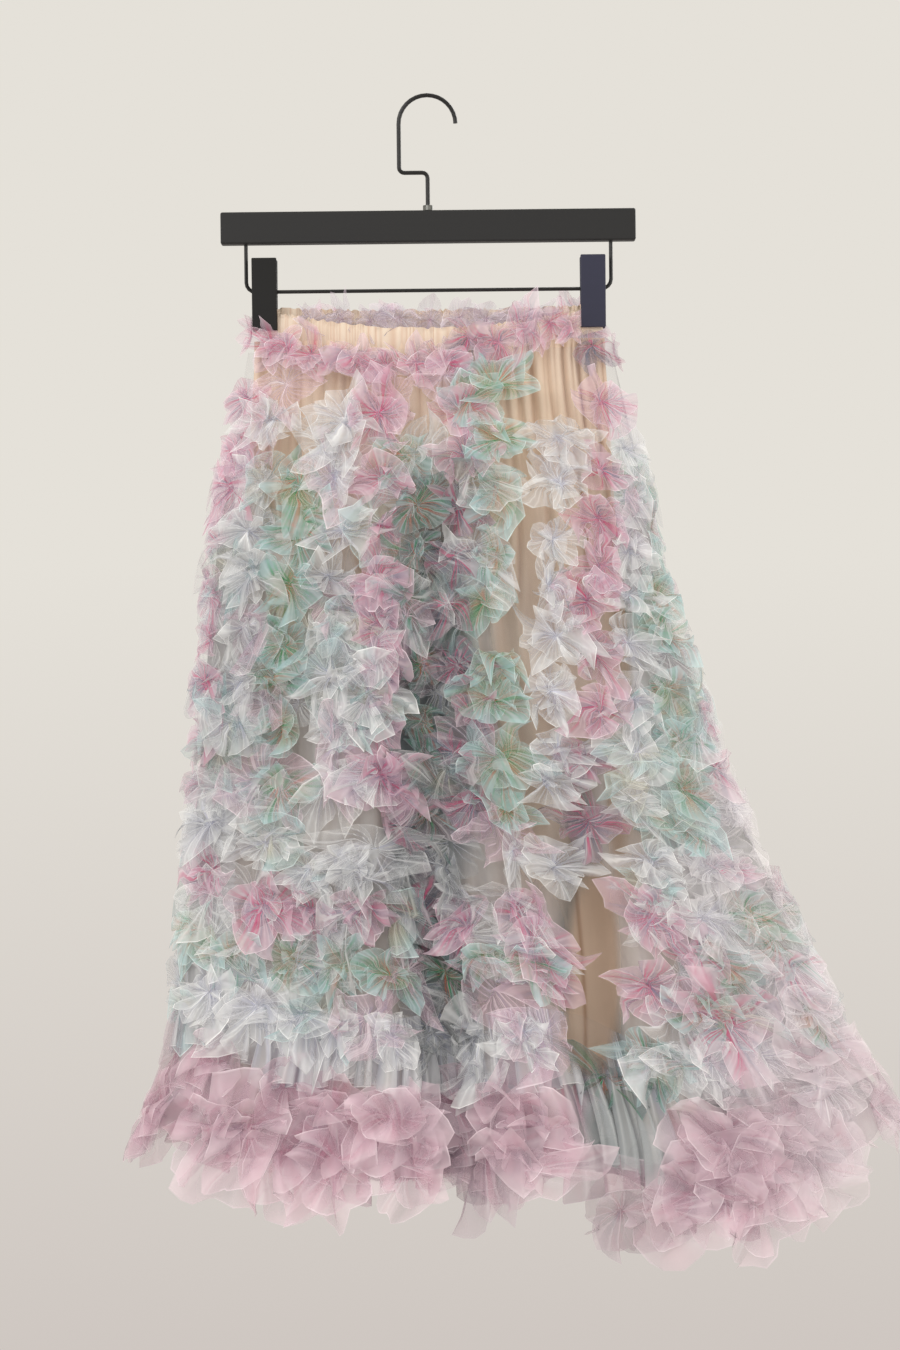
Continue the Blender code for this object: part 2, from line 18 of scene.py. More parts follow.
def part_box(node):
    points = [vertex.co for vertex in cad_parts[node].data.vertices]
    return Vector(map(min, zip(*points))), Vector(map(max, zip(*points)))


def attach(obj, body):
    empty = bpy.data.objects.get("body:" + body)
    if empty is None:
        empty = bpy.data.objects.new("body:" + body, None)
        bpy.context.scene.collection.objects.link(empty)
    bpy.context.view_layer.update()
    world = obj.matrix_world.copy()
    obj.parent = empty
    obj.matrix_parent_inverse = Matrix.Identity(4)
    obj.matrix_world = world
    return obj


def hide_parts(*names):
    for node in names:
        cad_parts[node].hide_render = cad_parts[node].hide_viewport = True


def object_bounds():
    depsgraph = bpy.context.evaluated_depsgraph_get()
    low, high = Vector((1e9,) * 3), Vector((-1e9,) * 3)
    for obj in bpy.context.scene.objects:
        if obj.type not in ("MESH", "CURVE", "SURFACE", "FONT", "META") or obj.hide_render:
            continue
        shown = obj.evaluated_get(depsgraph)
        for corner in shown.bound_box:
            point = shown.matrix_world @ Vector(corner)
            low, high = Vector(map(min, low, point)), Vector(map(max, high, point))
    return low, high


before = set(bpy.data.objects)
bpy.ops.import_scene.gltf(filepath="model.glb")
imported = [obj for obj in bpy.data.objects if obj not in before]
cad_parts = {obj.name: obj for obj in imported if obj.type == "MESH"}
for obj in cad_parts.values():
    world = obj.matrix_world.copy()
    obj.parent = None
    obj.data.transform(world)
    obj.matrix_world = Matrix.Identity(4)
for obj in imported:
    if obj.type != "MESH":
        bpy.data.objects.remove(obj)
cad_low, cad_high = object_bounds()
print("solids:", len(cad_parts), "box:", tuple(round(v, 3) for v in cad_high - cad_low))

# %% [markdown]
# The camera stands level with the middle of the picture, square to the front, and is rolled a little,
# because the real hanger hangs a little askew in its picture. A long lens keeps the near folds from
# growing. The picture is 900 by 1350, so the lens is worked out for its long side.

# %% Camera
PICTURE_LONG = 1.140  # metres that the picture's long side spans at the hanger
CAMERA_AWAY = 2.4
CAMERA_AT = (0.0144, -0.488)
CAMERA_ROLL = math.radians(0.62)
SENSOR = 36.0

camera_data = bpy.data.cameras.new("camera")
camera_data.sensor_width = SENSOR
camera_data.lens = SENSOR * CAMERA_AWAY / PICTURE_LONG
camera = bpy.data.objects.new("camera", camera_data)
camera.location = (CAMERA_AT[0], -CAMERA_AWAY, CAMERA_AT[1])
camera.rotation_euler = Euler((math.radians(90), CAMERA_ROLL, 0))
bpy.context.scene.collection.objects.link(camera)
bpy.context.scene.camera = camera
print("lens:", round(camera_data.lens, 1), "mm")

# %% [markdown]
# Shader maths is easier to read as sums than as a picture of wires. A Wire holds one output of a node,
# and adding or multiplying wires makes the Math nodes.

# %% Wires
class Wire:
    """One output of a node. Sums on it add Math nodes."""

    def __init__(self, nodes, socket):
        self.nodes = nodes
        self.socket = socket

    def maths(self, operation, first, second=0.0):
        return self.nodes.node("ShaderNodeMath", {"operation": operation}, {0: first, 1: second})

    def __add__(self, other):
        return self.maths("ADD", self, other)

    def __sub__(self, other):
        return self.maths("SUBTRACT", self, other)

    def __rsub__(self, other):
        return self.maths("SUBTRACT", other, self)

    def __mul__(self, other):
        return self.maths("MULTIPLY", self, other)

    __radd__ = __add__
    __rmul__ = __mul__

    def __pow__(self, other):
        return self.maths("POWER", self, other)

    def __abs__(self):
        return self.maths("ABSOLUTE", self)

    def clamped(self):
        return self.nodes.node("ShaderNodeClamp", {}, {0: self})


def show_methods(kind):
    print(kind.__name__, "has:", *(name for name in vars(kind) if callable(getattr(kind, name))))


show_methods(Wire)

# %% [markdown]
# Any node that isn't a sum comes from one method, which takes its type, its settings and what goes into
# it. A Finish is one material, with short names for the few nodes that most finishes use. A pattern on
# it reads object coordinates, so it keeps its size on every piece.

# %% Nodes and finishes
class Nodes:
    """The nodes of a material or a world. The last one is the shader, which wires are joined to."""

    def __init__(self, owner, shader):
        owner.use_nodes = True
        self.tree = owner.node_tree
        self.shader = self.tree.nodes[shader]

    def node(self, kind, settings, inputs, output=0):
        made = self.tree.nodes.new(kind)
        for key, value in settings.items():
            if key == "stops":
                for stop, (place, colour) in zip(made.color_ramp.elements, value):
                    stop.position = place
                    stop.color = (*colour, 1)
            else:
                setattr(made, key, value)
        for key, value in inputs.items():
            if isinstance(value, Wire):
                self.tree.links.new(value.socket, made.inputs[key])
            else:
                made.inputs[key].default_value = value
        return Wire(self, made.outputs[output])

    def join(self, **wires):
        for socket, wire in wires.items():
            self.tree.links.new(wire.socket, self.shader.inputs[socket.replace("_", " ")])


class Finish(Nodes):
    """One material. Constants go on its Principled shader, and wires to its sockets."""

    def __init__(self, name, **constants):
        self.material = bpy.data.materials.new(name)
        super().__init__(self.material, "Principled BSDF")
        for socket, value in constants.items():
            self.shader.inputs[socket.replace("_", " ")].default_value = value

    def object_place(self):
        return self.node("ShaderNodeTexCoord", {}, {}, "Object")

    def attribute(self, name, output):
        return self.node("ShaderNodeAttribute", {"attribute_name": name}, {}, output)

    def scaled(self, vector, scale):
        return self.node("ShaderNodeVectorMath", {"operation": "MULTIPLY"}, {0: vector, 1: scale})

    def noise(self, vector, scale, detail=2.0):
        return self.node("ShaderNodeTexNoise", {}, {"Vector": vector, "Scale": scale, "Detail": detail})

    def mix(self, factor, first, second):
        settings = {"data_type": "RGBA"}
        return self.node("ShaderNodeMix", settings, {0: factor, 6: first, 7: second}, 2)

    def bump(self, height_wire, strength, distance):
        inputs = {"Height": height_wire, "Strength": strength, "Distance": distance}
        self.join(Normal=self.node("ShaderNodeBump", {}, inputs))


show_methods(Finish)

# %% [markdown]
# Colours are read off pictures as numbers from 0 to 255, but a shader counts light evenly, so each is
# changed to a linear value first.

# %% Colours


def srgb(red, green, blue):
    """A colour as a picture states it, from 0 to 255, as the shader's linear values."""
    shares = (np.array((red, green, blue)) / 255 + 0.055) / 1.055
    return (*(float(v) for v in shares**2.4), 1.0)


print("srgb(128, 128, 128) =", [round(v, 3) for v in srgb(128, 128, 128)])

# %% [markdown]
# Tulle shows its folds in soft, even light. The surroundings glow in a pale warm grey, a little darker
# towards the floor. One large lamp high on the left gives the folds a bright side, and a weaker one on
# the right keeps the shadows open. A third lights the back.

# %% Surroundings, floor and lamps
SKY_TOP = (0.783, 0.752, 0.694)
SKY_LOW = (0.620, 0.570, 0.535)
SKY_TURNS = (0.385, 0.52)  # where that changes, as shares of the way from straight down to up
FLOOR_Z = -1.6
FLOOR_RADIUS = 1.1

scene = bpy.context.scene
scene.view_settings.view_transform = "Standard"
scene.cycles.transparent_max_bounces = 10
scene.cycles.max_bounces = 4
scene.cycles.diffuse_bounces = 2
scene.world = bpy.data.worlds.new("studio")
sky = Nodes(scene.world, "Background")
direction = sky.node("ShaderNodeTexCoord", {}, {}, "Generated")
upward = sky.node("ShaderNodeSeparateXYZ", {}, {0: direction}, "Z")
height = sky.node("ShaderNodeMapRange", {}, {"Value": upward, "From Min": -1.0, "From Max": 1.0})
stops = tuple(zip(SKY_TURNS, (SKY_LOW, SKY_TOP)))
sky.join(Color=sky.node("ShaderNodeValToRGB", {"stops": stops}, {0: height}))

Lamp = namedtuple("Lamp", "name place size watts")
LAMPS = [
    Lamp("key", (-1.3, -2.0, 0.9), 1.6, 22.0),
    Lamp("fill", (1.6, -1.8, -0.2), 1.6, 7.0),
    Lamp("back", (0.9, 2.2, 0.6), 1.6, 20.0),
]
MIDDLE = Vector((0.03, 0.0, -0.5))
for row in LAMPS:
    lamp_data = bpy.data.lights.new(row.name, "AREA")
    lamp_data.size = row.size
    lamp_data.energy = row.watts
    lamp = bpy.data.objects.new(row.name, lamp_data)
    lamp.location = row.place
    lamp.rotation_euler = (MIDDLE - lamp.location).to_track_quat("-Z", "Y").to_euler()
    scene.collection.objects.link(lamp)
print("lamps:", [row.name for row in LAMPS])

# %% [markdown]
# The floor is a plain pale disc well below the hem, and no part of the skirt. Every new piece becomes
# an object in the same way as the floor, from its bmesh and its finish.

# %% Floor


def add_piece(name, made, finish):
    mesh = bpy.data.meshes.new(name)
    made.to_mesh(mesh)
    made.free()
    mesh.shade_smooth()
    mesh.materials.append(finish.material)
    piece = bpy.data.objects.new(name, mesh)
    scene.collection.objects.link(piece)
    return piece


floor_finish = Finish("floor", Roughness=0.9, Base_Color=srgb(198, 190, 186))
floor_grain = floor_finish.noise(floor_finish.object_place(), 3.0)
floor_finish.join(Base_Color=floor_finish.mix(floor_grain, srgb(194, 186, 182), srgb(202, 195, 191)))
floor_disc = bmesh.new()
bmesh.ops.create_circle(floor_disc, cap_ends=True, segments=96, radius=FLOOR_RADIUS)
bmesh.ops.translate(floor_disc, verts=floor_disc.verts, vec=(0, 0, FLOOR_Z))
add_piece("floor", floor_disc, floor_finish)
print("floor at", FLOOR_Z)

# %% [markdown]
# The hanger keeps its solids and gets finishes. The bar is satin black plastic with a faint mould grain,
# and the hook and rail are wire with a thin black coat. The left clip is matt black, and the right one
# is a navy black. The collar under the hook is plain turned steel.

# %% Hanger finishes


def plastic_finish(name, colour, worn, roughness):
    """Moulded plastic: a fine grain, and slow changes of tone and gloss."""
    finish = Finish(name, Specular_IOR_Level=0.35)
    place = finish.object_place()
    cloud = finish.noise(place, 14.0)
    grain = finish.noise(place, 1800.0, 1.0)
    brushed = finish.noise(finish.scaled(place, (8.0, 300.0, 300.0)), 1.0)
    finish.join(
        Base_Color=finish.mix((cloud * 0.8 + brushed * 0.3 - 0.2).clamped(), colour, worn),
        Roughness=(roughness + (cloud - 0.5) * 0.18).clamped(),
    )
    finish.bump(grain * 0.7 + brushed * 0.3, 0.30, 0.0003)
    return finish


def metal_finish(name, colour, worn, metallic, roughness):
    """Coated or turned metal, with fine level scratches."""
    finish = Finish(name, Metallic=metallic)
    place = finish.object_place()
    speck = finish.noise(place, 420.0)
    scratch = finish.noise(finish.scaled(place, (120.0, 120.0, 2400.0)), 1.0, 1.0)
    finish.join(
        Base_Color=finish.mix((speck * 1.6 - 0.5).clamped(), colour, worn),
        Roughness=(roughness + (scratch - 0.5) * 0.25).clamped(),
    )
    finish.bump(scratch, 0.15, 0.0002)
    return finish


def dress(name, finish):
    """Gives a node of the frame its finish."""
    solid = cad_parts[name]
    if not solid.material_slots:
        solid.data.materials.append(finish.material)
    for place in solid.material_slots:
        place.material = finish.material


bar_finish = plastic_finish("bar_plastic", srgb(36, 36, 37), srgb(42, 42, 42), 0.52)
left_finish = plastic_finish("left_clip_plastic", srgb(20, 20, 20), srgb(25, 25, 24), 0.6)
right_finish = plastic_finish("right_clip_plastic", srgb(48, 49, 68), srgb(56, 57, 78), 0.5)
wire_finish = metal_finish("wire_coat", srgb(18, 17, 17), srgb(30, 28, 27), 0.1, 0.36)
steel_finish = metal_finish("turned_steel", srgb(126, 126, 122), srgb(86, 86, 84), 1.0, 0.34)
dress("hanger_bar", bar_finish)
dress("hanger_hook", wire_finish)
dress("clip_rail", wire_finish)
dress("hook_collar", steel_finish)
for side_name, finish in (("left", left_finish), ("right", right_finish)):
    dress(f"{side_name}_clip_front_jaw", finish)
    dress(f"{side_name}_clip_back_jaw", finish)
for finish in (bar_finish, wire_finish, steel_finish):
    print("hanger finish:", finish.material.name)

# %% [markdown]
# Each clip's spring is a coil round the rail. A ring of the wire's own thickness is spun round the
# rail's axis and pushed along it a little at each step, which draws the coil. Two short legs would sit
# inside the jaws, where nothing of them shows, so the coil ends plainly. Each new piece is then seated
# in the frame: it rides on the one body and says which solids it stands for.

# %% Springs
SPRING_WIRE = 0.0011
SPRING_TURNS = 11
STEPS_A_TURN = 20


def coil(name, low, high, finish):
    """A coil along X that fills the box of the plain tube in the frame."""
    radius = (high.z - low.z) / 2 - SPRING_WIRE / 2
    length = high.x - low.x - SPRING_WIRE
    made = bmesh.new()
    ring = bmesh.ops.create_circle(made, segments=8, radius=SPRING_WIRE / 2)["verts"]
    bmesh.ops.translate(made, verts=ring, vec=(0, radius, 0))
    for axis in "XY":
        quarter = Matrix.Rotation(math.pi / 2, 3, axis)
        bmesh.ops.rotate(made, verts=ring, cent=(0, radius, 0), matrix=quarter)
    steps = SPRING_TURNS * STEPS_A_TURN
    bmesh.ops.contextual_create(made, geom=made.edges[:])
    bmesh.ops.spin(
        made, geom=made.faces[:], cent=(0, 0, 0), axis=(1, 0, 0), dvec=(length / steps, 0, 0),
        angle=math.tau * SPRING_TURNS, steps=steps,
    )
    bmesh.ops.recalc_face_normals(made, faces=made.faces)
    bmesh.ops.translate(made, verts=made.verts, vec=(low.x + SPRING_WIRE / 2, 0, (low.z + high.z) / 2))
    return add_piece(name, made, finish)


def seat(piece, slot, *nodes):
    """The piece rides with the skirt and stands for these nodes, whose solids are hidden. slot is not used.
    """
    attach(piece, "root")
    if nodes:
        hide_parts(*nodes)
    size = [round(v * 1000, 1) for v in piece.dimensions]
    print(piece.name, size, "mm,", len(piece.data.polygons), "faces")
    return piece


for side_name in ("left", "right"):
    node = f"{side_name}_clip_spring"
    seat(coil(f"{side_name}_coil", *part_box(node), steel_finish), "steel", node)

# %% [markdown]
# The cloths have to lie where the solids lie, so their walls are measured. At each level, sight lines
# run from the middle plane of the skirt to the front and to the back, and note where they first meet a
# wall. A Wall keeps these points as a ring for each level, numbered by turn: 0 at the left seam, 1 at
# the right seam after the front, and 2 at the left seam again after the back.

# %% Measure a wall of the frame
STATIONS = 96  # points of a ring on each side
LEVEL_STEP = 0.006
SEAM_LINE = 0.0004  # the extent is measured this far off the middle plane
FAR = 1.0


def solid_tree(names):
    """One search tree for the triangles of several solids."""
    points, faces = [], []
    for name in names:
        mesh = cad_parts[name].data
        start = len(points)
        points += [v.co.copy() for v in mesh.vertices]
        faces += [[start + i for i in p.vertices] for p in mesh.polygons]
    return BVHTree.FromPolygons(points, faces)


def smooth_rings(values, along, round_ring):
    """Averages neighbours, which takes the facets out."""
    for _ in range(along):
        inner = (values[:-2] + 2 * values[1:-1] + values[2:]) / 4
        values = np.vstack((values[:1], inner, values[-1:]))
    for _ in range(round_ring):
        values = (np.roll(values, 1, 1) + 2 * values + np.roll(values, -1, 1)) / 4
    return values


print("rings have", 2 * STATIONS, "points,", LEVEL_STEP * 1000, "mm apart")

# %% [markdown]
# A cloth is laid by asking its Wall for the point at a turn and height, and for the directions along
# the wall and out of it there. Between two stations or levels the wall is taken as straight.

# %% The Wall
class Wall:
    """A closed ring of points for each level, measured on the inner face of the named solids."""

    def __init__(self, fronts, backs, top, low, half=None):
        self.levels = np.arange(top, low - LEVEL_STEP / 2, -LEVEL_STEP)
        self.top = top
        across = -np.cos(np.pi * (np.arange(2 * STATIONS) / STATIONS))
        trees = {-1: solid_tree(fronts), 1: solid_tree(backs)}
        x_rings, y_rings = [], []
        for z, (left, right) in zip(self.levels, self.ends(trees[-1], half)):
            xs = (left + right) / 2 + (right - left) / 2 * across
            ys = np.full(2 * STATIONS, np.nan)
            for i, x in enumerate(xs):
                side = -1 if i < STATIONS else 1
                hit = trees[side].ray_cast(Vector((x, 0, z)), Vector((0, side, 0)), FAR)[0]
                if hit is not None:
                    ys[i] = hit.y
            ys[::STATIONS] = 0.0
            x_rings.append(xs)
            y_rings.append(ys)
        self.met = ~np.isnan(np.array(y_rings))
        self.x = smooth_rings(np.array(x_rings), 3, 0)
        self.y = smooth_rings(self.bridged(np.array(y_rings)), 3, 2)

    def ends(self, tree, half):
        """The left and right extent at each level. half states them where the solid is clamped flat."""
        if half is not None:
            return [(-half, half)] * len(self.levels)
        rows = []
        for z in self.levels:
            start = Vector((0, -SEAM_LINE, z))
            hits = [tree.ray_cast(start, Vector((sign, 0, 0)), FAR)[0] for sign in (-1, 1)]
            rows.append([np.nan if hit is None else hit.x for hit in hits])
        return self.bridged(np.array(rows))

    def bridged(self, values):
        """Where the sight lines met nothing, the wall goes on as it is above and below."""
        for column in values.T:
            known = ~np.isnan(column)
            column[~known] = np.interp(-self.levels[~known], -self.levels[known], column[known])
        return values

    def sample(self, turn, z):
        """Points (x, y) on the wall at these turns and heights."""
        row = np.clip((self.top - np.asarray(z, float)) / LEVEL_STEP, 0, len(self.levels) - 1.001)
        place = (np.asarray(turn, float) % 2) * STATIONS
        i, j = row.astype(int), place.astype(int) % (2 * STATIONS)
        u, v = row - i, place - np.floor(place)
        k = (j + 1) % (2 * STATIONS)

        def blend(grid):
            upper = grid[i, j] * (1 - v) + grid[i, k] * v
            lower = grid[i + 1, j] * (1 - v) + grid[i + 1, k] * v
            return upper * (1 - u) + lower * u

        return blend(self.x), blend(self.y)

    def frame_at(self, turn, z):
        """The point, and the directions sideways, up and out, at these turns and heights."""
        turn, z = np.broadcast_arrays(np.asarray(turn, float), np.asarray(z, float))
        x, y = self.sample(turn, z)
        step, rise = 0.012, 0.008
        x1, y1 = self.sample(turn + step, z)
        x0, y0 = self.sample(turn - step, z)
        x3, y3 = self.sample(turn, z + rise)
        x2, y2 = self.sample(turn, z - rise)
        side = np.stack((x1 - x0, y1 - y0, np.zeros_like(x)), -1)
        side /= np.maximum(np.linalg.norm(side, axis=-1, keepdims=True), 1e-9)
        up = np.stack((x3 - x2, y3 - y2, np.full_like(x, 2 * rise)), -1)
        up /= np.linalg.norm(up, axis=-1, keepdims=True)
        out = np.cross(side, up)
        out /= np.linalg.norm(out, axis=-1, keepdims=True)
        return np.stack((x, y, z), -1), side, up, out


show_methods(Wall)

# %% [markdown]
# Three walls are measured: the casing, the lining below it, and the net with the frill that hangs from
# its lower edge. The hem is read off too, as the lowest level where the sight lines still meet cloth.

# %% The three walls
CASING_WALL = 0.0016
casing_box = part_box("waistband_front"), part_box("waistband_back")
casing_half = float(casing_box[0][1].x) - CASING_WALL
lining_low = float(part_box("lining_front")[0].z)
hem_low = float(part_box("hem_frill_front")[0].z)

casing_wall = Wall(["waistband_front"], ["waistband_back"], -0.178, -0.216, casing_half)
lining_wall = Wall(["lining_front"], ["lining_back"], -0.222, lining_low + 0.004)
net_wall = Wall(
    ["petal_layer_front", "hem_frill_front"], ["petal_layer_back", "hem_frill_back"],
    -0.212, hem_low + 0.004,
)


def hem_line(wall):
    """Height of the lower edge at each station of a ring."""
    lowest = np.array([[wall.levels[column].min() for column in wall.met.T]])
    return smooth_rings(lowest, 0, 6)[0]


net_hem = hem_line(net_wall)
hem_turns = np.arange(2 * STATIONS + 1) / STATIONS


def hem_at(turn):
    return np.interp(np.asarray(turn, float) % 2, hem_turns, np.append(net_hem, net_hem[0]))


def turn_of(across, back=False):
    """The turn at a share across the width, from -1 at the left seam to 1, or past 1 round the back."""
    across = np.asarray(across, float)
    front = np.arccos(np.clip(-across, -1, 1)) / np.pi
    past = 2 - np.arccos(np.clip(across - 2, -1, 1)) / np.pi
    turn = np.where(across <= 1, front, past)
    return 2 - turn if back else turn


for name, wall in (("casing", casing_wall), ("lining", lining_wall), ("net", net_wall)):
    print(name, wall.x.shape, "x", wall.x.min().round(3), wall.x.max().round(3),
          "y", wall.y.min().round(3), wall.y.max().round(3))
print("hem from", net_hem.min().round(3), "to", net_hem.max().round(3))

# %% [markdown]
# Every cloth here is a tube or a disc, so two blanks serve for all. A tube is a grid rolled up, and a
# disc is spun from a chain of points that starts at its middle. In a blank, the angle round the axis
# says where a point goes along the cloth, and its height or radius says where across.

# %% Blanks
RINGS = (0.0, 0.10, 0.28, 0.48, 0.68, 0.86, 0.97, 1.0)  # radii of a disc's points
SPOKES = 40

def spin_chain(points, steps):
    """A mesh spun from a chain of points round the upright axis."""
    made = bmesh.new()
    chain = [made.verts.new(p) for p in points]
    edges = [made.edges.new(pair) for pair in zip(chain, chain[1:])]
    bmesh.ops.spin(made, geom=chain + edges, axis=(0, 0, 1), cent=(0, 0, 0),
                   angle=math.tau, steps=steps, use_merge=True)
    bmesh.ops.remove_doubles(made, verts=made.verts, dist=1e-6)
    bmesh.ops.recalc_face_normals(made, faces=made.faces)
    return made


def roll_grid(columns, rows):
    """A flat grid rolled into a tube of radius 1 and height 1, and closed along its seam."""
    made = bmesh.new()
    bmesh.ops.create_grid(made, x_segments=columns, y_segments=rows, size=0.5)
    for vert in made.verts:
        angle = math.tau * vert.co.x
        vert.co = (math.cos(angle), math.sin(angle), vert.co.y - 0.5)
    bmesh.ops.remove_doubles(made, verts=made.verts, dist=1e-5)
    bmesh.ops.recalc_face_normals(made, faces=made.faces)
    return made


def points_of(mesh):
    flat = np.empty(len(mesh.vertices) * 3, np.float32)
    mesh.vertices.foreach_get("co", flat)
    return flat.reshape(-1, 3).astype(float)


def set_points(mesh, points):
    mesh.vertices.foreach_set("co", points.astype(np.float32).ravel())
    mesh.update()


disc = spin_chain([(radius, 0, 0) for radius in RINGS], SPOKES)
disc_mesh = bpy.data.meshes.new("disc")
disc.to_mesh(disc_mesh)
disc.free()
disc_points = points_of(disc_mesh)
disc_radius = np.hypot(disc_points[:, 0], disc_points[:, 1])
disc_angle = np.arctan2(disc_points[:, 1], disc_points[:, 0])
print("disc:", len(disc_mesh.vertices), "points,", len(disc_mesh.polygons), "faces")

# %% [markdown]
# A spacing in metres is kept by measuring each ring, so that gathers are as wide at the sides as at the
# front. A tube of cloth then asks its own function where the points of its blank go.

# %% Even steps round a ring
RING_TURNS = np.linspace(0, 2, 1601)  # where the length round a wall is measured
FLARE_AT = -0.90


def keep_value(piece, name, values):
    attribute = piece.data.attributes.new(name, "FLOAT", "POINT")
    attribute.data.foreach_set("value", np.asarray(values, np.float32))


def ring_lengths(wall, z):
    """The length round the wall up to each of RING_TURNS, at one height or at a height for each."""
    x, y = wall.sample(RING_TURNS, np.full_like(RING_TURNS, z))
    return np.append(0, np.cumsum(np.hypot(np.diff(x), np.diff(y))))


def turn_at(lengths, share):
    """The turn at this share of a ring's length."""
    return np.interp((share % 1.0) * lengths[-1], lengths, RING_TURNS)


def ease(value):
    value = np.clip(value, 0, 1)
    return value * value * (3 - 2 * value)


def tube(name, columns, rows, place, finish):
    """A tube of cloth. place takes shares round and down, and gives the points and what else it found."""
    piece = add_piece(name, roll_grid(columns, rows), finish)
    points = points_of(piece.data)
    share = ((np.arctan2(points[:, 1], points[:, 0]) - np.pi) % math.tau) / math.tau
    points, found = place(share, -points[:, 2])
    set_points(piece.data, points)
    return piece, found


print("length round the net at", FLARE_AT, "m:", round(ring_lengths(net_wall, FLARE_AT)[-1], 3), "m")

# %% [markdown]
# The casing and lining are one nude satin-faced cloth. Its colour wanders a little, deep in a crease it
# is painted warmer and darker as shade, and a fine weave shows as bump. How deep a point lies in its
# gathers is kept on the mesh as the attribute "deep", so that the finish paints that shade in the folds.

# %% Nude cloth
CREAM = srgb(250, 236, 219)
NUDE = srgb(244, 222, 200)
# Painted shade: the colour of the lining deep in a crease.
CREASE_SHADE = srgb(172, 130, 98)


def nude_finish(name, colour, crease):
    finish = Finish(name, Roughness=0.62, Sheen_Weight=0.25, Sheen_Roughness=0.5)
    place = finish.object_place()
    deep = finish.attribute("deep", "Fac")
    wander = finish.noise(place, 9.0)
    lit = finish.mix((wander * 0.5).clamped(), colour, srgb(222, 190, 156))
    # Painted shade: where "deep" is high, the colour goes to the darker, warmer crease colour.
    finish.join(Base_Color=finish.mix((deep * 0.9).clamped(), lit, crease))
    weave = finish.noise(finish.scaled(place, (1500.0, 1500.0, 700.0)), 1.0, 1.0)
    slub = finish.noise(finish.scaled(place, (260.0, 260.0, 30.0)), 1.0, 2.0)
    finish.bump(weave * 0.5 + slub * 0.5, 0.25, 0.0004)
    return finish


# The third colour of each cloth is its painted shade deep in a crease.
casing_finish = nude_finish("casing_cloth", CREAM, srgb(220, 186, 160))
lining_finish = nude_finish("lining_cloth", NUDE, CREASE_SHADE)
print("finishes:", casing_finish.material.name, lining_finish.material.name)

# %% [markdown]
# The casing is a strip folded over elastic. The elastic pulls it into fine gathers, and above the
# elastic the spare edge stands up as a small ruffle. The gathers are a wave whose spacing wanders, with
# narrow valleys, swelling over the elastic and pinched at its two stitch lines.

# %% Waist casing
CASING_HEIGHT = 0.022
CASING_HEADER = 0.004  # the loose ruffle above the elastic
CASING_GATHER = 0.0036
CASING_PUFF = 0.0013
CASING_DEPTH = 0.0009
CLIP_AT = 0.1385  # this far from the middle, the clips hold the casing flat
casing_top = float(casing_box[0][1].z)
casing_dips = [float(box[1].z - box[0].z) - CASING_HEIGHT for box in casing_box]
casing_ring = ring_lengths(casing_wall, -0.196)


def wander(length, seed, size, waves=5):
    """A smooth closed wave round a ring, for uneven spacing."""
    rng = np.random.default_rng(seed)
    sums = np.zeros_like(length)
    for wave in range(1, waves + 1):
        sums += rng.normal() * np.sin(math.tau * wave * length + rng.uniform(0, math.tau)) / wave**0.5
    return size * sums


def casing_points(share, down):
    turn = turn_at(casing_ring, share)
    front = turn < 1
    dip = np.where(front, casing_dips[0], casing_dips[1]) * np.sin(np.pi * turn) ** 2
    z = casing_top - dip - CASING_HEIGHT * down
    point, _, _, out = casing_wall.frame_at(turn, np.minimum(z, casing_wall.top))
    point[:, 2] = z
    gathers = round(casing_ring[-1] / CASING_GATHER)
    phase = share * gathers + wander(share, 3, 2.2, 40)
    fold = np.abs(np.sin(np.pi * phase)) ** 0.7
    uneven = 0.75 + 0.25 * np.sin(math.tau * share * 31 + wander(share, 5, 2.0))
    header = ease(1 - down * CASING_HEIGHT / CASING_HEADER)
    loose = np.maximum(ease((CLIP_AT - np.abs(point[:, 0])) / 0.012), 0.15)
    lift = CASING_PUFF * np.sin(np.pi * np.clip(down, 0, 1)) + CASING_DEPTH * (fold * uneven - 0.5)
    sway = header * 0.0016 * np.sin(math.tau * phase / 3.3 + 1.0)
    point += out * ((CASING_WALL / 2 + (lift + sway) * loose)[:, None])
    point[:, 2] += header * 0.0009 * np.sin(math.tau * phase / 4.7 + wander(share, 8, 2.0)) * loose
    # Painted shade: the second value, kept as "deep", is highest in the valleys of the gathers.
    return point, (1 - fold) * (0.55 + 0.45 * uneven) * loose


casing, casing_deep = tube("waist_casing", 950, 12, casing_points, casing_finish)
keep_value(casing, "deep", casing_deep)
seat(casing, "lining", "waistband_front", "waistband_back")
print("casing ring:", round(casing_ring[-1], 3), "m")
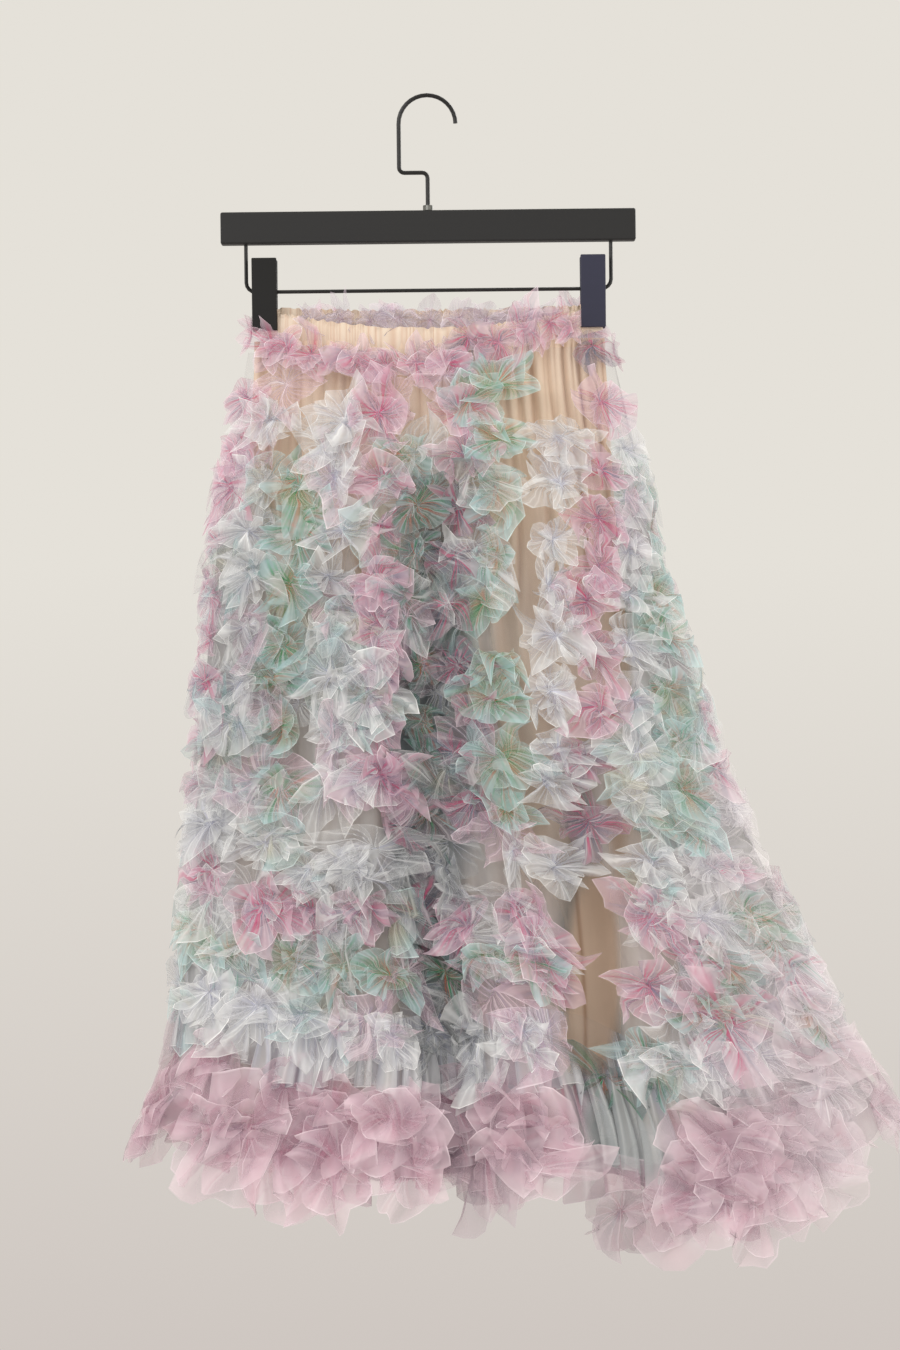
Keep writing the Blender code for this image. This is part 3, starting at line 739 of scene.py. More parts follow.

# %% [markdown]
# The lining is one gathered tube of the same cloth. Below the casing it is crowded into narrow upright
# pleats, and as it widens they run together into broad soft folds. The sharp creases of the real lining
# are listed, each with its own length and depth; each is dented in and painted darker, as shade.

# %% Lining
LINING_TOP = -0.205
LINING_GATHER = 0.0105
LINING_FOLD = 0.034
LINING_WALL = 0.0014
Spot = namedtuple("Spot", "x z half_x half_z share")
GAP_SHADE = Spot(0.131, -0.74, 0.04, 0.16, 0.18)  # between two folds of the net, in their shade
GAP_SHADOW_LINE = (0.013, 0.0018, 0.7)  # a painted shadow line in it, along the fold beside it: how far left of its middle, how wide, how dark
lining_ring = ring_lengths(lining_wall, -0.30)
Crease = namedtuple("Crease", "across top low width depth")
CREASES = [
    Crease(-0.92, -0.210, -0.42, 0.0030, 0.0042),
    Crease(-0.74, -0.212, -0.33, 0.0024, 0.0030),
    Crease(-0.46, -0.214, -0.36, 0.0028, 0.0032),
    Crease(-0.24, -0.216, -0.30, 0.0022, 0.0028),
    Crease(0.20, -0.214, -0.40, 0.0026, 0.0040),
    Crease(0.44, -0.212, -0.46, 0.0026, 0.0044),
    Crease(0.52, -0.212, -0.34, 0.0022, 0.0036),
    Crease(0.60, -0.210, -0.56, 0.0030, 0.0046),
    Crease(0.70, -0.210, -0.38, 0.0022, 0.0040),
    Crease(0.79, -0.208, -0.52, 0.0028, 0.0048),
    Crease(0.87, -0.208, -0.36, 0.0020, 0.0034),
    Crease(0.94, -0.208, -0.48, 0.0026, 0.0040),
]


def inside(spot, x, z, reach, soft):
    """How far a place lies inside an oval spot: 1 in its middle, easing to 0 past its rim."""
    away = np.hypot((x - spot.x) / spot.half_x, (z - spot.z) / spot.half_z)
    return ease((reach - away) / soft)


def lining_points(share, down):
    turn = turn_at(lining_ring, share)
    z = LINING_TOP + (lining_low - LINING_TOP) * down
    point, _, _, out = lining_wall.frame_at(turn, np.minimum(z, lining_wall.top))
    point[:, 2] = z
    fall = LINING_TOP - z
    length = lining_ring[-1]
    pleat_phase = share * round(length / LINING_GATHER) + wander(share, 11, 1.0)
    pleats = np.abs(np.sin(np.pi * pleat_phase)) ** 0.6
    pleat_share = np.exp(-fall / 0.14) * ease(fall / 0.006 + 0.4)
    fold_phase = share * round(length / LINING_FOLD) + wander(share, 12, 0.8) + 0.25 * np.sin(9 * fall)
    folds = np.sin(math.tau * fold_phase)
    fold_share = ease(fall / 0.20)
    lift = 0.0030 * pleat_share * (pleats - 0.75) + 0.0032 * fold_share * folds
    # Painted shade, kept as "deep": darker in the valleys of the pleats and folds, and along each crease.
    streaks = (1 - pleats) ** 3 * np.exp(-fall / 0.05) * ease(fall / 0.006)
    deep = 1.3 * streaks + 0.12 * (1 - pleats) ** 1.5 * pleat_share + 0.16 * fold_share * ease(-folds)
    across = -np.cos(np.pi * turn)
    half = (np.max(lining_wall.x) - np.min(lining_wall.x)) / 2
    for crease in CREASES:
        away = (across - crease.across) * half * 0.8 + 0.004 * np.sin(22 * z)
        along = ease((crease.top - z) / 0.012 + 0.5) * ease((z - crease.low) / 0.06)
        valley = np.exp(-((away / crease.width) ** 2)) * along * (turn < 1)
        lift -= crease.depth * valley
        deep += 0.45 * valley
    # A painted shadow line down the left of the gap, where the fold beside it shades the lining.
    left, width, dark = GAP_SHADOW_LINE
    shadow_line = np.exp(-(((point[:, 0] - GAP_SHADE.x + left - 0.006 * np.sin(14 * z)) / width) ** 2))
    deep += (GAP_SHADE.share + dark * shadow_line) * inside(GAP_SHADE, point[:, 0], z, 1.2, 0.5) * (turn < 1)
    point += out * (LINING_WALL / 2 + lift)[:, None]
    return point, np.clip(deep, 0, 1)


lining, lining_deep = tube("lining", 440, 90, lining_points, lining_finish)
keep_value(lining, "deep", lining_deep)
seat(lining, "lining", "lining_front", "lining_back")
print("lining ring:", round(lining_ring[-1], 3), "m")

# %% [markdown]
# What lies over the lining isn't the same everywhere. In a few places the net is clear, and deep in a
# fold everything on it is painted darker, as shade. Both are found from tables of oval spots, and the depth
# of a fold is also measured, by comparing the net's wall at a place with the wall to its left and right.

# %% Clear places and dark folds
WINDOWS = [  # where the net is clear, and how clear
    Spot(0.131, -0.733, 0.021, 0.088, 1.00),  # between the two folds at the right
    Spot(0.124, -0.785, 0.023, 0.034, 1.00),  # its foot
    Spot(0.152, -0.470, 0.012, 0.200, 0.90),  # a strip above it
    Spot(0.092, -0.440, 0.046, 0.230, 0.66),  # the columns right of the middle lie on thin net
    Spot(-0.120, -0.360, 0.013, 0.110, 0.90),  # a strip below the left clip
    Spot(-0.055, -0.350, 0.010, 0.080, 0.85),
]
FOLD_DEEP = (0.0024, 0.011)  # a fold this deep is fully dark, near the waist and low down
FOLD_SPAN = (-0.065, 0.160)  # the folds of the front that look dark lie between these places
FOLD_FADE = 0.03
LOOK_ROUND = (0.035, 0.060, 0.090, 0.120)  # turns to each side that are compared
SHADOWS = [  # where a fold is dark, and how dark
    Spot(0.000, -0.395, 0.024, 0.095, 1.00),  # the upper end of the middle fold, shut and dark
    Spot(0.012, -0.540, 0.024, 0.130, 0.85),
    Spot(0.130, -0.905, 0.026, 0.030, 0.60),  # under the right edge of the middle lobe
    Spot(-0.055, -0.655, 0.014, 0.020, 0.60),
    Spot(0.156, -0.818, 0.036, 0.020, 0.55),  # the mint below the gap
    Spot(0.165, -0.915, 0.060, 0.034, 0.45),  # the lobe below it
    Spot(-0.180, -0.480, 0.055, 0.150, 0.24),  # the left side turns away from the key lamp
    Spot(-0.113, -0.430, 0.036, 0.120, 0.22),
    Spot(-0.060, -0.690, 0.050, 0.070, 0.20),
]


def in_window(x, z, windows=WINDOWS):
    """How clear the net is: a window's own share in its middle, and 0 outside."""
    share = np.zeros_like(np.asarray(x, float))
    for window in windows:
        share = np.maximum(share, window.share * inside(window, x, z, 1.25, 0.5))
    return share


def fold_shade(turn, z):
    """How deep a place lies in a fold of the net, from 0 to 1, below the ring to its left and right."""
    turn, z = np.broadcast_arrays(np.asarray(turn, float) % 2, np.asarray(z, float))
    side = np.where(turn < 1, -1.0, 1.0)
    x, y = net_wall.sample(turn, z)
    depth = np.zeros_like(x)
    for step in LOOK_ROUND:
        both = net_wall.sample(turn - step, z)[1] + net_wall.sample(turn + step, z)[1]
        depth = np.maximum(depth, side * (both / 2 - y))
    full = FOLD_DEEP[0] + (FOLD_DEEP[1] - FOLD_DEEP[0]) * ease((-0.34 - z) / 0.28)
    span = ease((x - FOLD_SPAN[0]) / FOLD_FADE + 1) * ease((FOLD_SPAN[1] - x) / FOLD_FADE + 1)
    shade = ease(depth / full) * np.where(turn < 1, span, 0.6)
    for shadow in SHADOWS:
        shade = np.maximum(shade, shadow.share * inside(shadow, x, z, 1.3, 0.6) * (turn < 1))
    return shade


print("shade in the middle fold:", round(float(fold_shade(0.5, -0.45)), 2))

# %% [markdown]
# The net carries the rosettes. Several layers of it hang over the lining, so low down it is a grey
# veil. Just under the waist, and between two folds at the right, it is nearly clear and the lining
# shows. How dense it is at each point is kept on the mesh as the attribute "veil".

# %% Sheer net
NET_TOP = -0.214
NET_FOLD = 0.030
NET_OUT = 0.0022
VEIL_TOP, VEIL_LOW = 0.08, 0.55
VEIL_FROM, VEIL_FULL = -0.31, -0.45
net_ring = ring_lengths(net_wall, -0.60)


def net_points(share, down):
    turn = turn_at(net_ring, share)
    low = hem_at(turn) + 0.022
    z = NET_TOP + (low - NET_TOP) * down
    point, _, _, out = net_wall.frame_at(turn, z)
    phase = share * round(net_ring[-1] / NET_FOLD) + wander(share, 21, 1.0)
    fall = ease((NET_TOP - z) / 0.25)
    lift = 0.0022 * fall * np.sin(math.tau * phase) + 0.0008 * np.sin(math.tau * 3.3 * phase)
    point += out * (NET_OUT + lift)[:, None]
    veil = VEIL_TOP + (VEIL_LOW - VEIL_TOP) * ease((VEIL_FROM - z) / (VEIL_FROM - VEIL_FULL))
    shade = fold_shade(turn, z)
    veil = veil + 0.35 * shade - 0.05 * np.sin(math.tau * phase)
    return point, (veil * (1 - in_window(point[:, 0], z) * (turn < 1)), shade)


net_finish = Finish("sheer_net", Roughness=0.7)
net_place = net_finish.object_place()
net_mottle = net_finish.noise(net_finish.scaled(net_place, (60.0, 60.0, 9.0)), 1.0, 2.0)
net_pale = net_finish.mix(net_mottle, srgb(178, 178, 182), srgb(218, 216, 215))
net_shade = net_finish.attribute("shade", "Fac")
# Painted shade: deep in a fold ("shade") the net goes dark grey-green.
net_finish.join(
    Base_Color=net_finish.mix((net_shade * 0.9).clamped(), net_pale, srgb(70, 84, 88)),
    Alpha=(net_finish.attribute("veil", "Fac") * (net_mottle + 0.5)).clamped(),
)
net_threads = net_finish.noise(net_finish.scaled(net_place, (400.0, 400.0, 60.0)), 1.0, 1.0)
net_finish.bump(net_threads, 0.3, 0.0006)
net, (net_veil, net_shades) = tube("sheer_net", 300, 64, net_points, net_finish)
keep_value(net, "veil", net_veil)
keep_value(net, "shade", net_shades)
seat(net, "sheer_petals", "petal_layer_front", "petal_layer_back")
print("net ring:", round(net_ring[-1], 3), "m")

# %% [markdown]
# A rosette is two cut squares of tulle, pinched together at the middle. The pinch draws parts of each
# edge in and down, and the corners stand up and out as petals, so ridges and valleys run from the pinch
# to the rim. A Pleat holds the range that each number of a pinch is drawn from.

# %% Ways to pinch a square
Rosette = namedtuple("Rosette", "turn z radius tulle tilt rise sheets")
Pleat = namedtuple("Pleat", "petals ridge valley ridge_rise valley_rise flutter point stretch")
# The rises of a pleat are angles in degrees.
BROAD = Pleat((4, 5), (1.05, 1.52), (0.52, 0.86), (4, 56), (0, 16), 0.085, 0.74, 0.15)
FINE = Pleat((5, 8), (0.95, 1.55), (0.55, 0.90), (10, 58), (2, 24), 0.070, 0.72, 0.20)
SOFT = Pleat((4, 5), (1.05, 1.45), (0.66, 0.98), (10, 64), (2, 26), 0.090, 0.85, 0.14)
BOW = Pleat((3, 4), (1.10, 1.60), (0.40, 0.70), (4, 40), (0, 14), 0.070, 0.74, 0.12)
STAND_OFF = 0.0030
SECOND_SHEET = 0.84  # its size beside the first sheet's
SECOND_RISE = 0.26  # radians, how much steeper it stands
CURL = 42  # degrees, how unevenly the petals curl
SAG = 0.36
BEND_AT = np.array((0.1, 0.3, 0.5, 0.7, 0.9))  # where a spoke's direction is sampled
print("petals of a sheet, broad to bow:", [pleat.petals for pleat in (BROAD, FINE, SOFT, BOW)])

# %% [markdown]
# Each sheet starts as the disc, whose spokes are shared out among the ridges and valleys. The spokes
# between two of them follow in straight lines, as stiff tulle does. Ripples and crumpling are sums of a
# few waves with random strength.

# %% Share out, ripple and crumple
disc_rays = np.stack((np.cos(disc_angle), np.sin(disc_angle)), 1)
disc_share = (disc_angle % math.tau) / math.tau


def round_disc(keys, closing=0.0, point=1.0):
    """Shares the key values of ridges and valleys out among the disc's points. The first key is a
    ridge. Below 1, point draws the ridges out to sharp corners."""
    closed = np.append(keys, keys[0] + closing)
    place = disc_share * len(keys)
    number = np.minimum(place.astype(int), len(keys) - 1)
    part = place - number
    part = np.where(number % 2 == 0, part**point, 1 - (1 - part) ** point)
    return closed[number] + (closed[number + 1] - closed[number]) * part


def ripples(angle, rng, low, high):
    total = np.zeros_like(angle)
    for wave in range(low, high + 1):
        total += rng.normal() * np.cos(wave * angle + rng.uniform(0, math.tau)) / wave**0.5
    return total / math.sqrt(high - low + 1)


def crumple(points, size, rng):
    """Moves points by a few waves in random directions."""
    moved = points.copy()
    for _ in range(6):
        direction = rng.normal(size=3)
        direction *= rng.uniform(3.0, 9.0) / np.linalg.norm(direction)
        wave = np.sin(points / size @ direction + rng.uniform(0, math.tau))
        moved += wave[:, None] * rng.normal(0, 0.042, 3) * size
    return moved


print("reach round a disc with two keys:", round_disc(np.array((1.4, 0.6)))[1:6].round(2))

# %% [markdown]
# Each ridge and valley gets its own angle, reach, rise and curl. A spoke is bent along its length, so a
# corner can fold over. Then the rim flutters, the petals sag, and the sheet is crumpled a little.

# %% One sheet of a rosette


def sheet_points(rosette, pleat, rng, sheet):
    """One sheet's points in the rosette's own directions: sideways, up and out."""
    r = disc_radius
    petals = int(rng.choice(pleat.petals))
    count = 2 * petals

    def keys(ridge, valley):
        values = rng.uniform(valley[0], valley[1], count)
        values[0::2] = rng.uniform(ridge[0], ridge[1], petals)
        return values

    angle = round_disc((np.arange(count) + rng.uniform(-0.32, 0.32, count)) * math.pi / petals, math.tau)
    angle += rng.uniform(0, math.tau)
    ridge = round_disc((np.arange(count) % 2 == 0).astype(float))
    reach = round_disc(keys(pleat.ridge, pleat.valley), point=pleat.point)
    reach *= 1 + 0.16 * ripples(angle, rng, 2, 3)
    reach *= rosette.radius * SECOND_SHEET**sheet
    rise = np.radians(round_disc(keys(pleat.ridge_rise, pleat.valley_rise))) * rosette.rise
    rise += SECOND_RISE * sheet
    curl = round_disc(np.radians(rng.normal(-6, CURL, count))) * (0.3 + 0.7 * ridge)
    along = r[:, None] * BEND_AT
    direction = (rise * (1.12 - 0.3 * r))[:, None] + curl[:, None] * along**2
    flutter = ripples(angle, rng, 6, 12) * pleat.flutter * ease((r - 0.40) / 0.55)
    flat = reach * r * np.cos(direction).mean(axis=1)
    stand = reach * (r * np.sin(direction).mean(axis=1) + flutter)
    way = angle + round_disc(rng.normal(0, 0.26, count)) * r
    wide = math.exp(rng.normal(0.04, pleat.stretch))
    points = np.stack((flat * np.cos(way) * wide, flat * np.sin(way) / wide, stand), 1)
    points = crumple(points, rosette.radius, rng)
    points[:, 1] -= SAG * np.abs(points[:, 2]) * r
    points = points @ np.array(Euler((*rosette.tilt, 0)).to_matrix()).T
    low = 0.0006 + 0.05 * rosette.radius * r
    points[:, 2] = np.where(points[:, 2] < low, low + 0.15 * (low - points[:, 2]), points[:, 2])
    return points, ridge, way


sample_rosette = Rosette(0.5, -0.5, 0.030, None, (0.0, 0.0), 1.0, 1)
sample = sheet_points(sample_rosette, BROAD, np.random.default_rng(0), 0)[0]
print("a sheet of 30 mm stands", round(float(sample[:, 2].max()) * 1000, 1), "mm high")

# %% [markdown]
# The solids carry the outline of the real skirt. A petal whose tip would reach far past them is pressed
# back softly, and a petal beside a side seam is pressed round it.

# %% Keep petals near the solids
ROOM_FREE = np.array((0.002, 0.002, 0.010))  # how far past the solids a tip goes freely
ROOM_MOST = np.array((0.0140, 0.0074, 0.030))  # and how far it may go at the very most
OUTLINE_FREE, OUTLINE_SPARE = 0.006, 0.012  # the same past the side seams of the net


def pressed(values, sign, edge, free, spare):
    """Presses back values that pass an edge by more than free, to at most spare beyond that."""
    over = np.maximum(sign * (values - edge) - free, 0)
    return values - sign * (over - spare * (1 - np.exp(-over / spare)))


def kept_near(points):
    """Presses tips that reach too far past the solids' box back towards it."""
    for axis in range(3):
        free, spare = ROOM_FREE[axis], ROOM_MOST[axis] - ROOM_FREE[axis]
        for sign, edge in ((-1, cad_low[axis]), (1, cad_high[axis])):
            points[:, axis] = pressed(points[:, axis], sign, edge, free, spare)
    return points


def kept_in_outline(points):
    """Petals beside a side seam wrap round it, so they reach little farther out than the net."""
    z = np.clip(points[:, 2], net_wall.levels[-1], net_wall.top)
    for sign, ends in ((-1, net_wall.x.min(axis=1)), (1, net_wall.x.max(axis=1))):
        edge = np.interp(-z, -net_wall.levels, ends)
        points[:, 0] = pressed(points[:, 0], sign, edge, OUTLINE_FREE, OUTLINE_SPARE)
    return points


print("a tip 50 mm past an edge ends up", round(float(pressed(0.05, 1, 0.0, 0.002, 0.012)), 4), "m past it")

# %% [markdown]
# Tulle is nearly clear where it lies flat, and dense at its cut edge, in the pinch and at its tips. It
# is shaded too: mint runs from aqua tips over olive to a green heart with orange streaks. A Tulle names
# the colours of each part, and how dense the flat cloth and the tips are.

# %% Tulle colours
Tulle = namedtuple("Tulle", "tip body other inner heart streak edge cover tip_cover")
ROSE = Tulle(srgb(244, 208, 223), srgb(214, 166, 190), srgb(196, 160, 186), srgb(212, 150, 182),
             srgb(214, 78, 128), srgb(96, 132, 156), srgb(255, 244, 250), 0.22, 0.36)
HEM_ROSE = ROSE._replace(
    tip=srgb(252, 222, 233), body=srgb(224, 182, 198), other=srgb(202, 174, 188),
    inner=srgb(206, 136, 168), cover=0.26, tip_cover=0.38,
)
MINT = Tulle(srgb(186, 226, 230), srgb(192, 186, 146), srgb(158, 192, 182), srgb(166, 168, 104),
             srgb(34, 150, 92), srgb(232, 104, 60), srgb(240, 254, 253), 0.18, 0.42)
WHITE = Tulle(srgb(252, 253, 253), srgb(214, 217, 220), srgb(206, 206, 218), srgb(222, 224, 232),
              srgb(192, 194, 220), srgb(252, 252, 253), srgb(255, 255, 254), 0.12, 0.32)
WAIST_ROSE = ROSE._replace(
    tip=srgb(242, 212, 225), body=srgb(214, 172, 190), other=srgb(198, 168, 188), cover=0.20,
)
HAZE = ROSE._replace(tip=srgb(222, 204, 218), body=srgb(202, 184, 200), other=srgb(190, 180, 196))
print("density, flat and at the tips:", [(t.cover, t.tip_cover) for t in (ROSE, HEM_ROSE, MINT, WHITE)])

# %% [markdown]
# Each point of a sheet keeps its own colour and density in the attribute "tint". They are blended part
# by part, from the flat cloth to the tips, the heart and the cut edge, and then follow the place on the
# skirt: painted shade makes them darker and cooler in a fold, and painted light makes them paler towards
# the right, where the light falls.

# %% Colour of each point
EDGE_LEAST = 0.35  # the cut edge is dense, and its brightness is partly a painted glint: full in some places, this share in the others
BRUSH = 0.56  # how much denser white tulle is where it is gathered into brushes
FOLD_SHADE = 0.62  # how much darker tulle is deep in a fold
FOLD_COOL = np.array(srgb(110, 140, 146)[:3])
# The colour of painted light, that the tulle is paled towards.
PAINTED_LIGHT_COLOUR = np.array(srgb(253, 241, 246)[:3])
PALE_FROM, PALE_FULL = 0.18, 0.275  # towards the right, painted light makes the tulle paler
PALE_HEM = (-0.84, 0.6)  # below this height, that starts farther out by this much for each metre
PALE_MOST = 0.74
PALE_MINT = 0.6  # share of it that mint takes
COVER_RANGE = (0.05, 0.96)


def blend(first, second, share):
    return first + (second - first) * share[:, None]


# Painted light: how much paler the tulle is painted towards the right, where the light falls.
def painted_light(x, z):
    shift = np.maximum(PALE_HEM[0] - z, 0) * PALE_HEM[1]
    return PALE_MOST * ease((x - PALE_FROM - shift) / (PALE_FULL - PALE_FROM))


def tint_rows(colour, cover):
    return np.column_stack((np.clip(colour, 0, 1), np.clip(cover, *COVER_RANGE)))


def sheet_tint(tulle, rng, ridge, way, shade, light_share, sheer):
    """Colour and density of each point of a sheet."""
    r = disc_radius
    tip, body, other, inner, heart, streak, edge = (np.array(c[:3]) for c in tulle[:7])
    half = ease(0.5 + 0.9 * np.cos(way - rng.uniform(0, math.tau)))
    colour = blend(np.tile(body, (len(r), 1)), other, half)
    tips = ease((r - 0.42 - 0.16 * ripples(way, rng, 2, 4)) / 0.45) * (0.25 + 0.75 * ridge)
    colour = blend(colour, tip, tips)
    warm = ease(np.cos(way - rng.uniform(0, math.tau)) * 1.8) * ease(1 - r / 0.7)
    hearted = (1 - sheer) * (0.4 if tulle is HEM_ROSE else 1.0)
    colour = blend(colour, streak, 0.55 * hearted * warm * ease(ripples(way, rng, 4, 8)))
    colour = blend(colour, inner, 0.75 * hearted * ease(1 - r / 0.62))
    colour = blend(colour, heart, 0.8 * hearted * ease(1 - r / 0.24))
    # The cut edge is dense, so it is whiter; its brightness also holds a painted glint, strong in some
    # places only.
    rim = ease((r - 0.95) / 0.05) * (0.8 if tulle is HEM_ROSE else 1.0)
    rim = rim * (EDGE_LEAST + (1 - EDGE_LEAST) * ease(0.6 + ripples(way, rng, 2, 5)))
    colour = blend(colour, edge, 0.9 * rim)
    # Painted light: the tulle is paled towards the right.
    colour = blend(colour, PAINTED_LIGHT_COLOUR, np.full(len(r), light_share * (PALE_MINT if tulle is MINT else 1)))
    # Painted shade: hem petals are darker in their valleys.
    if tulle is HEM_ROSE:
        colour = colour * (1 - 0.24 * (1 - ridge) * ease(r / 0.5) * (1 - rim))[:, None]
    colour = blend(colour, FOLD_COOL, np.full(len(r), 0.30 * shade)) * (1 - FOLD_SHADE * shade)
    cover = tulle.cover + (tulle.tip_cover - tulle.cover) * tips + 0.34 * ease(1 - r / 0.26)
    if tulle is WHITE and not sheer:
        brush = ease(ripples(way, rng, 2, 6)) * ease(1.15 - r)
        colour = blend(colour, edge, 0.8 * brush)
        cover = cover + BRUSH * brush
    cover = np.maximum(cover * (1 - 0.35 * sheer) + 0.10 * shade, (0.95 - 0.2 * sheer) * rim)
    return tint_rows(colour, cover * (1 - 0.2 * light_share))


print("paleness at the right of the hem:", round(float(painted_light(0.30, -0.85)), 2))

# %% [markdown]
# The finish reads the tint and adds what is finer than the points: pale creases that run from the
# pinch, and a few coloured threads in the heart. Light also comes through tulle from behind, which a
# weak glow of its own colour stands for.

# %% Tulle finishes
GLOW = 0.10  # light that comes through from behind, as a share of the tulle's own colour


def tulle_finish(name, tulle, threads, crease_cover, hearted=1.0):
    """Creases are where a noise round the pinch crosses its middle value, so they run as rays."""
    finish = Finish(name, Roughness=0.6, Sheen_Weight=0.15, Sheen_Roughness=0.4, Emission_Strength=GLOW)
    tint = finish.attribute("tint", "Color")
    cover = finish.attribute("tint", "Alpha")
    pinch = finish.attribute("pinch", "Fac")
    rays = finish.scaled(finish.attribute("rays", "Vector"), (threads, threads, 1.0))
    turn = finish.noise(rays, 1.0, 0.0)
    creases = (1.0 - abs(turn - 0.5) * 14.0).clamped() * pinch
    near = pinch**1.5 * hearted
    hearts = (1.5 - abs(turn - 0.60) * 26.0).clamped() * near
    streaks = (1.5 - abs(turn - 0.40) * 26.0).clamped() * near
    colour = finish.mix((creases * 0.8).clamped(), tint, tulle.edge)
    colour = finish.mix((hearts * 1.8).clamped(), colour, tulle.heart)
    colour = finish.mix((streaks * 1.1).clamped(), colour, tulle.streak)
    lines = creases + hearts * 1.5 + streaks * 1.1
    finish.join(Base_Color=colour, Emission_Color=colour,
                Alpha=(cover + lines * crease_cover).clamped())
    finish.bump(turn, 0.5, 0.002)
    return finish


rose_finish = tulle_finish("rose_tulle", ROSE, 4.0, 0.36)
hem_finish = tulle_finish("hem_tulle", HEM_ROSE, 2.0, 0.13, 0.25)
mint_finish = tulle_finish("mint_tulle", MINT, 5.0, 0.38)
white_finish = tulle_finish("white_tulle", WHITE, 5.5, 0.78, 0.40)
print("tulles:", rose_finish.material.name, mint_finish.material.name, white_finish.material.name)

# %% [markdown]
# One piece holds many rosettes. The disc's mesh is joined in once for every sheet, and the joined
# points are then moved, each sheet to its own place on the wall, with its sides along the wall. Tulle
# that lies deep in a fold of the net is painted darker and cooler, as shade.

# %% Rosette pieces
SIDE_FLAT, SIDE_REACH = 0.55, 0.09  # near the side seams, the petals stand out this much less
SIDES = {"front": False, "back": True}
PLEATS = {WHITE: FINE, HEM_ROSE: SOFT, WAIST_ROSE: BOW}  # the others, and all sheer ones, are BROAD
net_pieces = []  # all that is sewn on the net


def keep_look(piece, tints, rays, pinch):
    """Keeps what a tulle finish reads: colour and density, where creases run, and the pinch."""
    tint = piece.data.color_attributes.new("tint", "FLOAT_COLOR", "POINT")
    tint.data.foreach_set("color", tints.astype(np.float32).ravel())
    ray = piece.data.attributes.new("rays", "FLOAT_VECTOR", "POINT")
    ray.data.foreach_set("vector", rays.astype(np.float32).ravel())
    keep_value(piece, "pinch", pinch)


def rosette_piece(name, rosettes, finish, seed, sheer=0.0, inward=False):
    """One mesh of many rosettes, each laid on the wall at its own turn and height."""
    rng = np.random.default_rng(seed)
    points, tints, rays = [], [], []
    for rosette in rosettes:
        wall = casing_wall if rosette.z > net_wall.top else net_wall
        at, side, up, out = (v.reshape(3) for v in wall.frame_at(rosette.turn, rosette.z))
        if inward:
            side, out = -side, -out
        base = np.array((at[0], at[1], rosette.z)) + out * STAND_OFF
        shade = float(fold_shade(rosette.turn, rosette.z)) * (0.5 if rosette.tulle is HEM_ROSE else 1.0)
        light_share = float(painted_light(at[0], rosette.z))
        from_seam = abs(rosette.turn - round(rosette.turn))
        flat = 1 - SIDE_FLAT * math.exp(-((from_seam / SIDE_REACH) ** 2))
        pleat = BROAD if sheer else PLEATS.get(rosette.tulle, BROAD)
        for sheet in range(rosette.sheets):
            local, ridge, way = sheet_points(rosette, pleat, rng, sheet)
            local[:, 2] *= flat
            points.append(base + local[:, :1] * side + local[:, 1:2] * up + local[:, 2:] * out)
            tints.append(sheet_tint(rosette.tulle, rng, ridge, way, shade, light_share, sheer))
            rays.append(np.column_stack((disc_rays, np.full(len(local), 3.7 * len(rays)))))
    joined = bmesh.new()
    for _ in points:
        joined.from_mesh(disc_mesh)
    piece = add_piece(name, joined, finish)
    set_points(piece.data, kept_near(kept_in_outline(np.vstack(points))))
    keep_look(piece, np.vstack(tints), np.vstack(rays), np.tile(1 - 0.75 * disc_radius, len(points)))
    print(len(rosettes), "rosettes:")
    return piece


def sew(piece, slot, *nodes):
    """Seats a piece that is sewn on the net."""
    net_pieces.append(seat(piece, slot, *nodes))


def on_side(rosettes, back):
    return [r for r in rosettes if (r.turn % 2 > 1) == back]


# %% [markdown]
# Down the upper part of the skirt the rosettes hang in columns, each column in one colour. Near the hem
# they run round it in tiers. Tables give the columns and tiers.

# %% Columns and tiers
Column = namedtuple("Column", "across_top across_low first pitch radius tulle")
Tier = namedtuple("Tier", "rise pitch radius tulle")
COLUMN_TOP = -0.26
COLUMN_LOW = -0.63
TIERS_FROM = 0.300
FRONT_COLUMNS = [
    Column(-0.96, -0.98, -0.008, 0.040, 0.025, ROSE),
    Column(-0.82, -0.86, 0.018, 0.042, 0.026, WHITE),
    Column(-0.62, -0.70, 0.066, 0.042, 0.026, MINT),
    Column(-0.46, -0.44, 0.020, 0.042, 0.028, WHITE),
    Column(-0.27, -0.26, 0.016, 0.042, 0.026, ROSE),
    Column(-0.08, -0.13, 0.044, 0.042, 0.026, MINT),
    Column(0.14, 0.00, 0.006, 0.042, 0.026, ROSE),
    Column(0.33, 0.14, -0.011, 0.044, 0.028, MINT),
    Column(0.66, 0.28, 0.030, 0.042, 0.027, WHITE),
    Column(0.90, 0.44, 0.010, 0.042, 0.026, ROSE),
    Column(1.02, 0.60, 0.040, 0.042, 0.026, WHITE),
    Column(1.10, 0.76, 0.070, 0.042, 0.027, MINT),
    Column(1.20, 0.92, 0.150, 0.042, 0.026, ROSE),
]
BACK_COLUMNS = [
    Column(0.16 * row - 0.80, 0.17 * row - 0.85, 0.018 * (row % 2), 0.046, 0.025, tulle)
    for row, tulle in enumerate((WHITE, MINT, ROSE, WHITE, MINT, WHITE, ROSE, MINT, WHITE, ROSE, MINT))
]
TIERS = [
    Tier(0.276, 0.044, 0.028, WHITE),
    Tier(0.234, 0.048, 0.029, ROSE),
    Tier(0.186, 0.044, 0.028, MINT),
    Tier(0.138, 0.042, 0.031, WHITE),
]
print("columns:", len(FRONT_COLUMNS), "in front,", len(BACK_COLUMNS), "behind, and", len(TIERS), "tiers")

# %% [markdown]
# Where the front shows single large rosettes, beside its folds and round the clear place at the right,
# they are listed one by one, each with its place, size and tulle.

